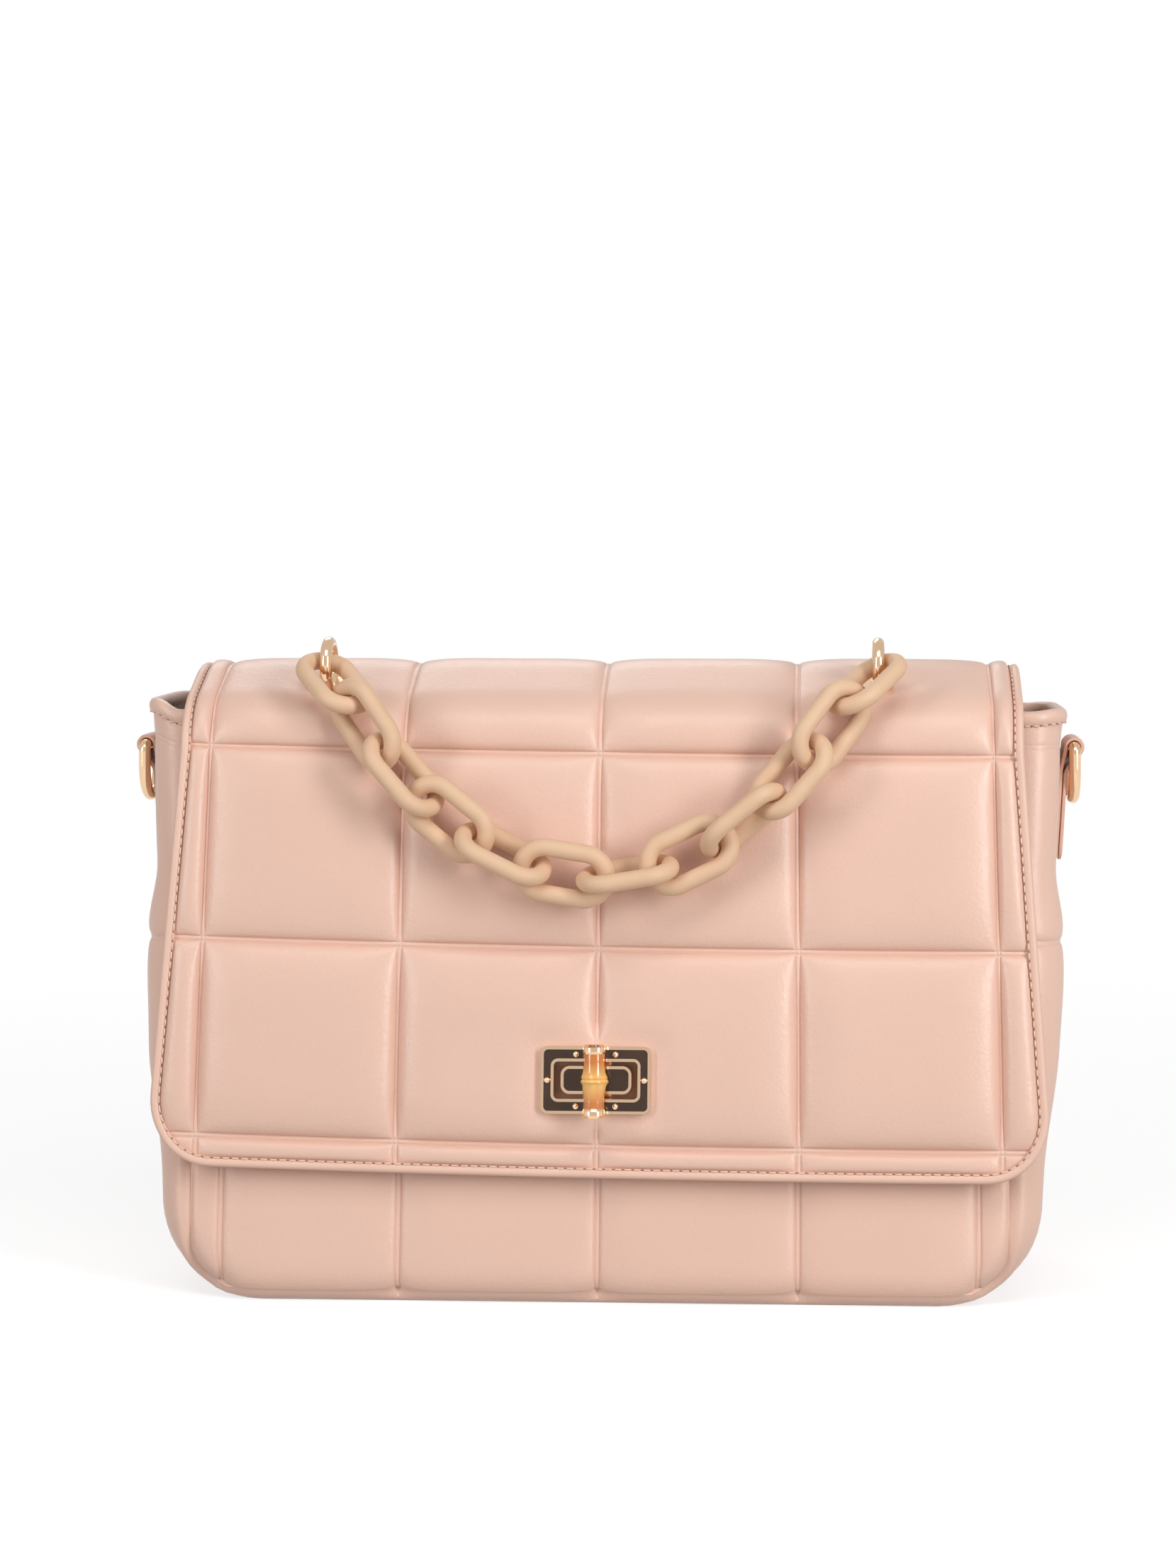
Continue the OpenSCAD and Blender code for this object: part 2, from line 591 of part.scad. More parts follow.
// The end links hook on the front of the arch rings, a little below their middles.
hook_angle = 15;
function hook_point(side) = [side * arch_x, arch_y - arch_mid_r * cos(hook_angle),
    arch_z - arch_mid_r * sin(hook_angle)];
function joint_point(i) = i == 0 ? hook_point(-1) : i == LINKS ? hook_point(1)
    : chain_point((i - LINKS / 2) * link_pitch);
function link_run(i) = unit(joint_point(i + 1) - joint_point(i));
function link_mid(i) = i == 0 ? joint_point(1) - link_run(0) * link_pitch / 2
    : i == LINKS - 1 ? joint_point(LINKS - 1) + link_run(LINKS - 1) * link_pitch / 2
    : (joint_point(i) + joint_point(i + 1)) / 2;
function link_out(i) = chain_out((i == 0 ? 1 - LINKS / 2 : i == LINKS - 1 ? LINKS / 2 - 1
    : i + 0.5 - LINKS / 2) * link_pitch);

// Turn about X that brings the link's width to the wanted direction, before the link is aimed
function link_roll(i) =
    let (u = link_run(i), out = unit(link_out(i) - (link_out(i) * u) * u), up = cross(out, u),
        wide = cos(link_turns[i]) * up + sin(link_turns[i]) * out,
        level = unit([-u.y, u.x, 0]), rest = cross(u, level))
    atan2(wide * rest, wide * level);

link_bend_r = (link_w - link_bar) / 2;
link_straight = link_l - link_w;
module chain_link() {
    for (end = [0, 1]) rotate(180 * end) translate([link_straight / 2, 0]) rotate(-90)
        torus_part(link_bend_r, link_bar, 180);
    for (side = [-1, 1]) translate([0, side * link_bend_r, 0]) rotate([0, 90, 0])
        cylinder(h = link_straight, d = link_bar, center = true, $fn = curve_steps);
}
module placed_link(i) let (u = link_run(i)) color(resin) translate(link_mid(i))
    rotate([link_roll(i), -asin(u.z), atan2(u.y, u.x)]) chain_link();

in_place() front_panel();
in_place() back_panel();
in_place() left_gusset();
in_place() right_gusset();
in_place() base_panel();
in_place() base_board();
in_place() lining();
in_place() rim_band();
in_place() flap_anchor();
in_place() left_tab();
in_place() right_tab();
in_place() left_ring();
in_place() right_ring();
in_place() lock_base();
in_place() lock_base_inlay();
in_place() lock_post();
in_place() knob_core();
in_place() knob_washer();
in_place() knob_grip();
in_place() knob_cap_top();
in_place() knob_cap_bottom();
in_place() flap_outer();
in_place() flap_foam();
in_place() flap_lining();
in_place() flap_edge_roll();
in_place() lock_frame();
in_place() lock_frame_enamel();
in_place() lock_rivets();
in_place() lock_backing();
in_place() left_arch();
in_place() right_arch();
in_place() arch_washers();
in_place() arch_screws();
for (i = [0:LINKS - 1])
    in_place() placed_link(i);
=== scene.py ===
"""A quilted flap bag with a turn lock, a chunky link chain and two side rings, on a white floor."""

import math

import bmesh
import bpy
from mathutils import Matrix, Vector, noise


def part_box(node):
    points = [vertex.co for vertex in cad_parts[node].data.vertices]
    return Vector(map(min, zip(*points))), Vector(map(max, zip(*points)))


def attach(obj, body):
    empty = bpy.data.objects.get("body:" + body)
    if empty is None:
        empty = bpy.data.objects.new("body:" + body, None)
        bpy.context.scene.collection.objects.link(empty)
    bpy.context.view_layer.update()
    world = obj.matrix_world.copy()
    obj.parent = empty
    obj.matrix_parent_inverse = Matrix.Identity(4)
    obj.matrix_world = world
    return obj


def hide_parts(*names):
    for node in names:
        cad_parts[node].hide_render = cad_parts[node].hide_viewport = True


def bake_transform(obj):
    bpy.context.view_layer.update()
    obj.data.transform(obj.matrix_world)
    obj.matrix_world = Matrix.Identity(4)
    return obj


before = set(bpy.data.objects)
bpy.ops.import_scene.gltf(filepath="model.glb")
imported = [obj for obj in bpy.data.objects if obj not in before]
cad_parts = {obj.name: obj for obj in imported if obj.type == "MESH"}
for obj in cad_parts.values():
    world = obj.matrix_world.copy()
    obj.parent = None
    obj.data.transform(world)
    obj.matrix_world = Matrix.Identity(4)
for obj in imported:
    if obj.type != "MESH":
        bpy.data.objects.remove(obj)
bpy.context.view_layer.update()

bl_info = {
    "name": "Quilted chain bag",
    "version": (1, 0, 0),
    "blender": (4, 5, 0),
    "location": "View3D > Sidebar > Bag",
    "description": "Dresses the packed bag with quilted leather, stitches, metal, resin and bamboo",
    "category": "Object",
}

MM = 0.001


def size(name, description, value):
    """A length property, given in millimetres."""
    return bpy.props.FloatProperty(name=name, description=description, default=value * MM, unit="LENGTH",
                                   precision=5)


def tint(name, description, value):
    """A colour property."""
    return bpy.props.FloatVectorProperty(name=name, description=description, default=value, subtype="COLOR",
                                         min=0, max=1)


class BagBodySizes(bpy.types.PropertyGroup):
    """The body's leather shell, as the frame's solids have it."""

    middle_y: size("Middle plane", "Distance of the bag's middle plane behind the frame's origin", 9.7)
    rim_half: size("Half width at the rim", "Half width of the body at its rim", 164)
    base_half: size("Half width at the base", "Half width of the body just above its bottom corners", 153.5)
    rim_height: size("Rim height", "Height of the leather's upper edge", 202.8)
    front: size("Front", "Distance of the front wall from the middle plane, at the rim", 25.5)
    back: size("Back", "Distance of the back wall from the middle plane, at the rim", 36)
    front_lean: size("Front lean", "How far the front wall leans out down to the table", 32.6)
    back_lean: size("Back lean", "How far the back wall leans out down to the table", 17.8)
    edge_round: size("Edge rounding", "Rounding of the upright and bottom edges", 13)
    corner_round: size("Corner rounding", "Radius of the bottom corners, seen from the front", 36)
    seam_half: size("Seam half width", "Distance of the panels' side seams from the middle", 142.5)
    seam_low: size("Lower seam", "Height of the panels' lower seams", 5)
    seam_round: size("Seam corner", "Radius of the seam's bottom corners", 14)
    base_half_split: size("Base half length", "Distance of the base strip's end seams from the middle", 110)
    wall: size("Wall", "Thickness of the body's leather", 2.1)
    lining: size("Lining", "Thickness of the lining's textile", 0.8)
    floor: size("Floor", "Height of the lining's floor, on the board", 4.6)
    rim_rise: size("Rim rise", "How far the rim stands up at its left end", 4)
    side_swell: size("Side swell", "How far the gussets swell at half height", 3.4)
    belly: size("Belly", "How far the stuffed walls swell between the seams", 1.6)


class BagFlapSizes(bpy.types.PropertyGroup):
    """The flap's leather, padding, rolled edge and fold."""

    low_half: size("Half width at the hem", "Half width of the flap at its lower edge", 156.8)
    waist_half: size("Half width at the waist", "Half width where the front bends to the top", 148)
    top_half: size("Half width on top", "Half width of the flap along its top", 148.5)
    waist_height: size("Waist height", "Height of the flap's waist", 191)
    hem_height: size("Hem height", "Height of the hem at the middle", 46)
    slant: size("Slant", "Fall of the hem from the middle to the right side", 2.1)
    corner_round: size("Corner rounding", "Radius of the lower corners", 24)
    padding: size("Padding", "Depth of the skin and foam together", 4.6)
    inner: size("Inner leather", "Thickness of the flap's inner leather", 1.1)
    edge_width: size("Edge width", "Width of the rolled edge, out to the stitches", 3.2)
    sag: size("Sag", "How far the rows hang lower in the middle than at the sides", 1.3)
    channel_depth: size("Channel depth", "How far the quilting channels are pressed in", 3.5)
    slot_half: size("Slot half width", "Half width of the hole under the lock's frame", 15.3)
    slot_rise: size("Slot half height", "Half height of the hole under the lock's frame", 7.2)
    lower_crown: size("Lower crown", "How far the lower pads swell past the upper ones", 0.9)
    crown: size("Crown", "How far the pads swell past the plain flap", 0.7)
    lock_height: size("Lock height", "Height of the lock's middle", 78.5)


class BagQuiltSizes(bpy.types.PropertyGroup):
    """The quilting's grid and the section of its channels."""

    pitch: size("Pitch", "Distance between two upright channels", 69.3)
    row: size("Row", "Distance between two level channels", 67)
    lowest: size("Lowest row", "Height of the lowest level channel", 56.5)
    ribbon: size("Ribbon", "Half distance of a channel's two pressed lines", 0.75)
    line_width: size("Line width", "Half width of a pressed line", 0.3)
    line_depth: size("Line depth", "Depth of a pressed line under the ribbon", 0.35)
    near_run: size("Near run", "Run of the pad's steep foot", 1.2)
    far_run: size("Far run", "Run over which the pad reaches its crown", 22)


class BagStitchSizes(bpy.types.PropertyGroup):
    """The stitches."""

    pitch: size("Pitch", "Distance from one stitch to the next", 3.3)
    length: size("Length", "Length of a stitch's thread on the surface", 2.3)
    thickness: size("Thickness", "Half thickness of the thread", 0.36)


class BagColours(bpy.types.PropertyGroup):
    """The bag's colours."""

    leather: tint("Leather", "Blush leather", (0.82, 0.55, 0.44))
    # Deep tone: random worn patches, and also the painted shade in the creases, pressed lines and seams.
    leather_deep_and_crease_shade: tint("Leather in the creases", "Leather where it is pressed or rubbed", (0.64, 0.37, 0.275))
    edge_paint: tint("Edge paint", "Painted edge of the flap and straps", (0.76, 0.46, 0.34))
    lining: tint("Lining", "Textile lining", (0.60, 0.42, 0.33))
    board: tint("Board", "Board in the base", (0.25, 0.21, 0.18))
    gold: tint("Gold", "Pale gold plating", (0.87, 0.62, 0.41))
    enamel: tint("Enamel", "Dark enamel of the lock", (0.046, 0.021, 0.009))
    amber: tint("Amber", "Bamboo at its lightest", (0.98, 0.57, 0.14))
    amber_deep: tint("Deep amber", "Bamboo at its darkest", (0.62, 0.17, 0.012))
    resin: tint("Resin", "Matt resin of the chain", (0.78, 0.53, 0.35))
    thread: tint("Thread", "Sewing thread", (0.88, 0.62, 0.47))
    # Painted shadow: colour of the dark sunk beads that stand for the shade in the needle holes between
    # stitches.
    slot: tint("Needle slot", "Dark slots between two stitches", (0.34, 0.19, 0.135))
    floor: tint("Floor", "Floor, as it lights the bag", (0.5, 0.5, 0.5))


GROUPS = {
    "bag_body": BagBodySizes,
    "bag_flap": BagFlapSizes,
    "bag_quilt": BagQuiltSizes,
    "bag_stitch": BagStitchSizes,
    "bag_colours": BagColours,
}


def body():
    return bpy.context.scene.bag_body


def flap():
    return bpy.context.scene.bag_flap


def quilt():
    return bpy.context.scene.bag_quilt


def stitch():
    return bpy.context.scene.bag_stitch


def colours():
    return bpy.context.scene.bag_colours


# Shader nodes, written as sums


class Term:
    """A shader socket; sums, differences and products of terms add Math nodes."""

    def __init__(self, paint, socket):
        self.paint = paint
        self.socket = socket

    def maths(self, operation, *others):
        return self.paint.node("ShaderNodeMath", {"operation": operation}, dict(enumerate((self, *others))))

    def __add__(self, other):
        return self.maths("ADD", other)

    def __mul__(self, other):
        return self.maths("MULTIPLY", other)

    def __sub__(self, other):
        return self.maths("SUBTRACT", other)

    def clamped(self):
        return self.paint.node("ShaderNodeMath", {"operation": "ADD", "use_clamp": True}, {0: self, 1: 0.0})


class Paint:
    """The nodes of one material, or of the world."""

    def __init__(self, name, kind="ShaderNodeBsdfPrincipled", world=False):
        self.owner = (bpy.data.worlds if world else bpy.data.materials).new(name)
        self.owner.use_nodes = True
        self.nodes = self.owner.node_tree.nodes
        self.links = self.owner.node_tree.links
        self.nodes.clear()
        output = self.nodes.new("ShaderNodeOutputWorld" if world else "ShaderNodeOutputMaterial")
        self.shader = self.nodes.new(kind)
        self.links.new(self.shader.outputs[0], output.inputs["Surface"])

    def node(self, kind, settings=None, inputs=None, output=0):
        """Adds a node: its settings first, then the values or links of its sockets."""
        made = self.nodes.new(kind)
        for key, value in (settings or {}).items():
            setattr(made, key, value)
        for key, value in (inputs or {}).items():
            self.feed(made.inputs[key], value)
        return Term(self, made.outputs[output])

    def feed(self, socket, value):
        if isinstance(value, Term):
            self.links.new(value.socket, socket)
        elif socket.type == "RGBA":
            socket.default_value = (*tuple(value)[:3], 1)
        else:
            socket.default_value = value

    def set(self, **values):
        """Sets the main shader's sockets; an underscore in a name stands for a space."""
        for key, value in values.items():
            self.feed(self.shader.inputs[key.replace("_", " ")], value)

    def places(self):
        return self.node("ShaderNodeTexCoord", output="Object")

    def stretched(self, scale):
        return self.node("ShaderNodeMapping", {}, {"Vector": self.places(), "Scale": scale})

    def ray(self, kind):
        return self.node("ShaderNodeLightPath", output=f"Is {kind} Ray")

    def attribute(self, name):
        return self.node("ShaderNodeAttribute", {"attribute_name": name}, output="Fac")

    def noise(self, scale, detail=2.0, vector=None):
        return self.node("ShaderNodeTexNoise", {}, {"Vector": vector or self.places(), "Scale": scale,
                                                   "Detail": detail})

    def waves(self, scale, vector):
        sockets = {"Vector": vector, "Scale": scale}
        return self.node("ShaderNodeTexWave", {"bands_direction": "DIAGONAL"}, sockets, "Fac")

    def cells(self, scale):
        return self.node("ShaderNodeTexVoronoi", {}, {"Vector": self.places(), "Scale": scale})

    def ramp(self, value, low, high):
        return self.node("ShaderNodeMapRange", {}, {"Value": value, "From Min": low, "From Max": high})

    def mixed(self, share, one, two):
        made = self.nodes.new("ShaderNodeMix")
        made.data_type = "RGBA"
        self.feed(made.inputs[0], share)
        self.feed(made.inputs[6], one)
        self.feed(made.inputs[7], two)
        return Term(self, made.outputs[2])

    def bump(self, height, distance, strength):
        return self.node("ShaderNodeBump", {}, {"Strength": strength, "Distance": distance, "Height": height})


def leather_paint(name, colour, deep, roughness=0.38, grain=1.0):
    """Fine pebbled leather: the crease attribute paints shade into it along its pressed lines, seams and
    stitched edges.
    """
    paint = Paint(name)
    broad = paint.noise(14, 3)
    pebbles = paint.cells(760)
    wrinkles = paint.noise(420, 3)
    crease = paint.attribute("crease")
    patchy = paint.ramp(broad, 0.35, 0.75)
    worn = paint.mixed(patchy * 0.10, colour, deep)
    shaded = paint.mixed(paint.ramp(pebbles, 0.0, 1.1) * 0.06, worn, deep)
    # Painted shade: the leather darkens towards its deep tone where the crease attribute is high, in the
    # channels' pressed lines, the seams and beside the stitched edges.
    crease_shaded = paint.mixed((crease * 0.34).clamped(), shaded, deep)
    surface = pebbles * 0.55 + wrinkles * 0.45
    gloss = paint.ramp(wrinkles, 0.0, 1.0) * 0.16 + (roughness - 0.08) + crease * 0.06
    paint.set(Base_Color=crease_shaded, Roughness=gloss, Normal=paint.bump(surface, 0.00018 * grain, 0.6), IOR=1.5)
    return paint.owner


def edge_paint_material(name):
    """The rolled edge and the tabs: leather with a painted rim where the edge attribute is high."""
    paint = Paint(name)
    tones = colours()
    grain = paint.noise(520, 3)
    painted = paint.ramp(paint.attribute("edge"), 0.45, 0.95)
    leather = paint.mixed(paint.ramp(paint.noise(20, 2), 0.3, 0.8) * 0.15, tones.leather, tones.leather_deep_and_crease_shade)
    rubbed = paint.mixed(paint.ramp(paint.noise(260, 2), 0.35, 0.65) * 0.35, tones.edge_paint, tones.leather)
    paint.set(Base_Color=paint.mixed(painted * 0.6, leather, rubbed), Roughness=grain * 0.12 + 0.36,
              Normal=paint.bump(grain, 0.00006, 0.4), IOR=1.42)
    return paint.owner


def weave_paint(name, colour):
    """A fine twill."""
    paint = Paint(name)
    warp = paint.waves(520, paint.places())
    weft = paint.waves(420, paint.stretched((1, 1, -0.6)))
    cloth = warp * 0.6 + weft * 0.4
    dark = tuple(0.62 * c for c in colour)
    spots = paint.ramp(paint.noise(26, 3), 0.3, 0.8)
    tone = paint.mixed(paint.ramp(cloth, 0.0, 1.0), dark, colour)
    paint.set(Base_Color=paint.mixed(spots * 0.2, tone, dark), Roughness=paint.ramp(cloth, 0, 1) * 0.1 + 0.75,
              Normal=paint.bump(cloth, 0.00025, 0.7), Sheen_Weight=0.25)
    return paint.owner


def gold_paint(name, colour):
    """Polished plating with faint wipes and a warmer tone where it is handled."""
    paint = Paint(name)
    wipes = paint.noise(60, 4, paint.stretched((1, 1, 0.25)))
    warm = tuple(c * f for c, f in zip(colour, (1.0, 0.86, 0.72)))
    paint.set(Base_Color=paint.mixed(paint.ramp(wipes, 0.35, 0.8) * 0.45, colour, warm), Metallic=1.0,
              Roughness=paint.ramp(wipes, 0.2, 0.8) * 0.09 + 0.09,
              Normal=paint.bump(paint.noise(900, 2), 0.00001, 0.3))
    return paint.owner


def enamel_paint(name, colour):
    """Dark poured enamel with a soft swirl under its gloss."""
    paint = Paint(name)
    swirl = paint.noise(130, 2)
    lighter = tuple(1.9 * c for c in colour)
    paint.set(Base_Color=paint.mixed(paint.ramp(swirl, 0.35, 0.7) * 0.4, colour, lighter), Coat_Weight=0.5,
              IOR=1.35, Coat_Roughness=0.04, Roughness=paint.ramp(swirl, 0, 1) * 0.1 + 0.12,
              Normal=paint.bump(paint.noise(240, 1), 0.00006, 0.35))
    return paint.owner


def resin_paint(name, colour):
    """Matt moulded resin with a faint flow in its tone."""
    paint = Paint(name)
    flow = paint.noise(45, 3)
    speck = paint.noise(1500, 2)
    dark = tuple(c * f for c, f in zip(colour, (0.86, 0.80, 0.74)))
    paint.set(Base_Color=paint.mixed(paint.ramp(flow, 0.3, 0.75) * 0.35, colour, dark),
              Roughness=paint.ramp(speck, 0.2, 0.8) * 0.1 + 0.5,
              Normal=paint.bump(speck, 0.00004, 0.35), IOR=1.42)
    return paint.owner


def plain_paint(name, colour):
    """A dull material: speckled and slightly uneven."""
    paint = Paint(name)
    speck = paint.noise(400, 3)
    dark = tuple(0.7 * c for c in colour)
    paint.set(Base_Color=paint.mixed(paint.ramp(speck, 0.3, 0.7) * 0.5, colour, dark), Roughness=0.8,
              Normal=paint.bump(speck, 0.0002, 0.6))
    return paint.owner


def thread_paint(name, colour):
    """Waxed thread, twisted."""
    paint = Paint(name)
    twist = paint.waves(900, paint.places())
    dark = tuple(0.72 * c for c in colour)
    paint.set(Base_Color=paint.mixed(twist * 0.6, colour, dark), Roughness=paint.noise(300) * 0.1 + 0.5,
              Normal=paint.bump(twist, 0.0001, 0.5))
    return paint.owner


def bamboo_paint(name, node_z, half):
    """Lacquered bamboo: light at its node and deeper towards both caps, with scorched streaks."""
    paint = Paint(name)
    tones = colours()
    height = paint.node("ShaderNodeSeparateXYZ", {}, {"Vector": paint.places()}, "Z")
    away = paint.node("ShaderNodeMath", {"operation": "ABSOLUTE"}, {0: height - node_z})
    ends = paint.ramp(away, 0.05 * half, 0.75 * half)
    streaks = paint.noise(420, 3, paint.stretched((1, 1, 0.16)))
    scorch = (ends * 0.95 + paint.ramp(streaks, 0.5, 0.8) * 0.35).clamped()
    ring = paint.ramp(away, 0.09 * half, 0.02 * half)
    base = paint.mixed(scorch, tones.amber, tones.amber_deep)
    paint.set(Base_Color=paint.mixed((ring * 0.25).clamped(), base, tones.amber_deep), Coat_Weight=1.0,
              Coat_Roughness=0.06, Roughness=streaks * 0.15 + 0.22, Normal=paint.bump(streaks, 0.00012, 0.4))
    return paint.owner


# Paths and sheets


def fillet(points, radii, steps):
    """Rounds the corners of a flat path; the first and last points stay."""
    rounded = [Vector(points[0])]
    for before, corner, after, radius in zip(points, points[1:], points[2:], radii):
        before, corner, after = Vector(before), Vector(corner), Vector(after)
        back, on = (before - corner).normalized(), (after - corner).normalized()
        half = back.angle(on) / 2
        if radius <= 0 or half > math.radians(89.9):
            rounded.append(corner)
            continue
        middle = corner + (back + on).normalized() * radius / math.sin(half)
        start = corner + back * radius / math.tan(half) - middle
        turn = math.copysign(math.pi - 2 * half, back.y * on.x - back.x * on.y)
        rounded.extend(middle + Matrix.Rotation(turn * k / steps, 2) @ start for k in range(steps + 1))
    rounded.append(Vector(points[-1]))
    return rounded


class Route:
    """A flat path measured along its length."""

    def __init__(self, points, closed=False):
        self.closed = closed
        self.points = points + [points[0]] if closed else points
        self.marks = [0.0]
        for a, b in zip(self.points, self.points[1:]):
            self.marks.append(self.marks[-1] + (b - a).length)
        self.length = self.marks[-1]
        runs = [(b - a).normalized() for a, b in zip(self.points, self.points[1:])]
        ends = (runs[-1], runs[0]) if closed else (runs[0], runs[-1])
        joins = [(a + b).normalized() for a, b in zip(runs, runs[1:])]
        first = (ends[0] + ends[1]).normalized() if closed else runs[0]
        last = first if closed else runs[-1]
        self.runs = [first, *joins, last]

    def at(self, distance):
        """Point and direction at a distance; before the start and past the end it goes straight on."""
        if self.closed:
            distance %= self.length
        low, high = 0, len(self.marks) - 1
        if distance <= 0:
            return self.points[0] + self.runs[0] * distance, self.runs[0]
        if distance >= self.length:
            return self.points[-1] + self.runs[-1] * (distance - self.length), self.runs[-1]
        while high - low > 1:
            half = (low + high) // 2
            low, high = (half, high) if self.marks[half] <= distance else (low, half)
        share = (distance - self.marks[low]) / (self.marks[high] - self.marks[low])
        return (self.points[low].lerp(self.points[high], share),
                self.runs[low].lerp(self.runs[high], share).normalized())


def skirt_route(half, low, top, radius, steps):
    """Down a left side, along the bottom and up the right side, with rounded corners."""
    corners = ((-half, top), (-half, low), (half, low), (half, top))
    return Route(fillet(corners, (radius, radius), steps))


def box_route(half, low, high, radius, steps):
    """A closed rounded box, from the middle of its front."""
    start = (0, low)
    corners = (start, (half, low), (half, high), (-half, high), (-half, low), start)
    return Route(fillet(corners, [radius] * 4, steps)[:-1], closed=True)


def steps_between(low, high, step):
    """Even places from low to high, about a step apart."""
    count = max(1, round((high - low) / step))
    return [low + (high - low) * k / count for k in range(count + 1)]


BESIDE_CHANNEL = (0, 0.3, 0.6, 0.8, 1.0, 1.3, 1.8, 2.6, 3.8, 5.6, 8)


def grid_lines(low, high, seams, coarse, beside=BESIDE_CHANNEL, walls=()):
    """Places of a grid's lines: close together beside each seam, one on each wall, and coarse elsewhere.

    beside holds the lines' distances from a seam, in millimetres.
    """
    marks = {low, high}
    for seam in seams:
        marks.update(seam + side * offset * MM for offset in beside for side in (-1, 1))
    marks = {m for m in marks if gap(m, walls) > 0.3 * MM} if walls else marks
    inside = sorted(m for m in marks.union(walls) if low <= m <= high)
    lines = [inside[0]]
    for mark in inside[1:]:
        if mark - lines[-1] > coarse:
            lines.extend(steps_between(lines[-1], mark, coarse)[1:])
        elif mark - lines[-1] > 0.12 * MM:
            lines.append(mark)
    lines[-1] = high
    return lines


def smooth(value, low, high):
    """0 below low, 1 above high, and an even ease between."""
    share = min(max((value - low) / (high - low), 0), 1)
    return share * share * (3 - 2 * share)


def bell(distance, width):
    """1 at no distance, falling off on both sides to nearly 0 at twice the width."""
    return math.exp(-((distance / width) ** 2))


def rounded_inset(aside, above, radius):
    """Distance inwards from a side and a lower edge that meet in a rounded corner."""
    if aside < radius and above < radius:
        return radius - math.hypot(radius - aside, radius - above)
    return min(aside, above)


def flat_sheet(across, along, thickness=0.0, cuts=(), hole=None):
    """A flat grid with its lines at the given places, cut along lines, and a slab if it has a thickness.

    A hole is a middle and two half sizes, on lines of the grid.
    """
    bm = bmesh.new()
    columns, rows = len(across) - 1, len(along) - 1
    bmesh.ops.create_grid(bm, x_segments=columns, y_segments=rows, size=0.5)
    for v in bm.verts:
        v.co = (across[round((v.co.x + 0.5) * columns)], along[round((v.co.y + 0.5) * rows)], 0)
    for point, outward in cuts:
        bmesh.ops.bisect_plane(bm, geom=bm.verts[:] + bm.edges[:] + bm.faces[:], dist=1e-7,
                               plane_co=(*point, 0), plane_no=(*outward, 0), clear_outer=True)
    if hole:
        (x, y), half_x, half_y = hole
        inside = [f for f in bm.faces if abs(f.calc_center_median().x - x) < half_x
                  and abs(f.calc_center_median().y - y) < half_y]
        bmesh.ops.delete(bm, geom=inside, context="FACES")
    if thickness:
        made = bmesh.ops.extrude_face_region(bm, geom=bm.faces[:])
        low = [v for v in made["geom"] if isinstance(v, bmesh.types.BMVert)]
        bmesh.ops.translate(bm, vec=(0, 0, -thickness), verts=low)
    return bm


def corner_cuts(centre, radius, first, last, steps):
    """Cutting lines round a corner: chords of an arc from one angle to another."""
    cuts = []
    for k in range(steps):
        a, b = (math.radians(first + (last - first) * (k + e) / steps) for e in (0, 1))
        mid = (a + b) / 2
        reach = radius * math.cos((b - a) / 2)
        outward = Vector((math.cos(mid), math.sin(mid)))
        cuts.append((Vector(centre) + outward * reach, outward))
    return cuts


def lower_corners(x, y, radius, steps=10):
    """Cutting lines round a sheet's lower corners, whose arcs have their middles at x and -x."""
    return corner_cuts((x, y), radius, -90, 0, steps) + corner_cuts((-x, y), radius, 180, 270, steps)


def wrap(bm, place, **attributes):
    """Moves each point of a flat sheet to its place, and stores what depends on where it was."""
    layers = {name: bm.verts.layers.float.new(name) for name in attributes}
    for v in bm.verts:
        flat = v.co.copy()
        for name, layer in layers.items():
            v[layer] = attributes[name](*flat)
        v.co = place(*flat)


SHARP_ANGLE = math.radians(50)


def piece(name, bm, rides, material, stands_for=()):
    """Turns a bmesh into a finished piece on a body."""
    bmesh.ops.recalc_face_normals(bm, faces=bm.faces[:])
    mesh = bpy.data.meshes.new(name)
    bm.to_mesh(mesh)
    bm.free()
    for polygon in mesh.polygons:
        polygon.use_smooth = True
    mesh.set_sharp_from_angle(angle=SHARP_ANGLE)
    made = bpy.data.objects.new(name, mesh)
    bpy.context.scene.collection.objects.link(made)
    mesh.materials.append(material)
    if rides:
        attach(made, rides)
    if stands_for:
        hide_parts(*stands_for)
    return made


def swept(spots, profile, closed=False):
    """A tube of one profile: spots gives each ring's origin and its two directions.

    A profile's point is its reach in both directions and, where wanted, its share of edge paint.
    """
    bm = bmesh.new()
    rings, sides = len(spots), len(profile)
    columns = rings if closed else rings - 1
    bmesh.ops.create_grid(bm, x_segments=columns, y_segments=sides, size=0.5)
    layer = bm.verts.layers.float.new("edge")
    for v in bm.verts:
        origin, out, up = spots[round((v.co.x + 0.5) * columns) % rings]
        a, b, *shade = profile[round((v.co.y + 0.5) * sides) % sides]
        v.co = origin + out * a + up * b
        v[layer] = shade[0] if shade else 0
    bmesh.ops.remove_doubles(bm, verts=bm.verts[:], dist=1e-6)
    if not closed:
        bmesh.ops.holes_fill(bm, edges=[e for e in bm.edges if e.is_boundary], sides=0)
    return bm


def repaint(names, material):
    """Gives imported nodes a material."""
    for name in names:
        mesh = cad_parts[name].data
        mesh.materials.clear()
        mesh.materials.append(material)


def made_once(name, maker, *values):
    """The finish of that name, made the first time it is asked for."""
    full_name = name + "_finish"
    return bpy.data.materials.get(full_name) or maker(full_name, *values)


def leather():
    return made_once("blush_leather", leather_paint, colours().leather, colours().leather_deep_and_crease_shade)


def gold():
    return made_once("pale_gold", gold_paint, colours().gold)


# Quilting


def gap(value, seams):
    """Distance to the nearest seam."""
    return min(abs(value - s) for s in seams)


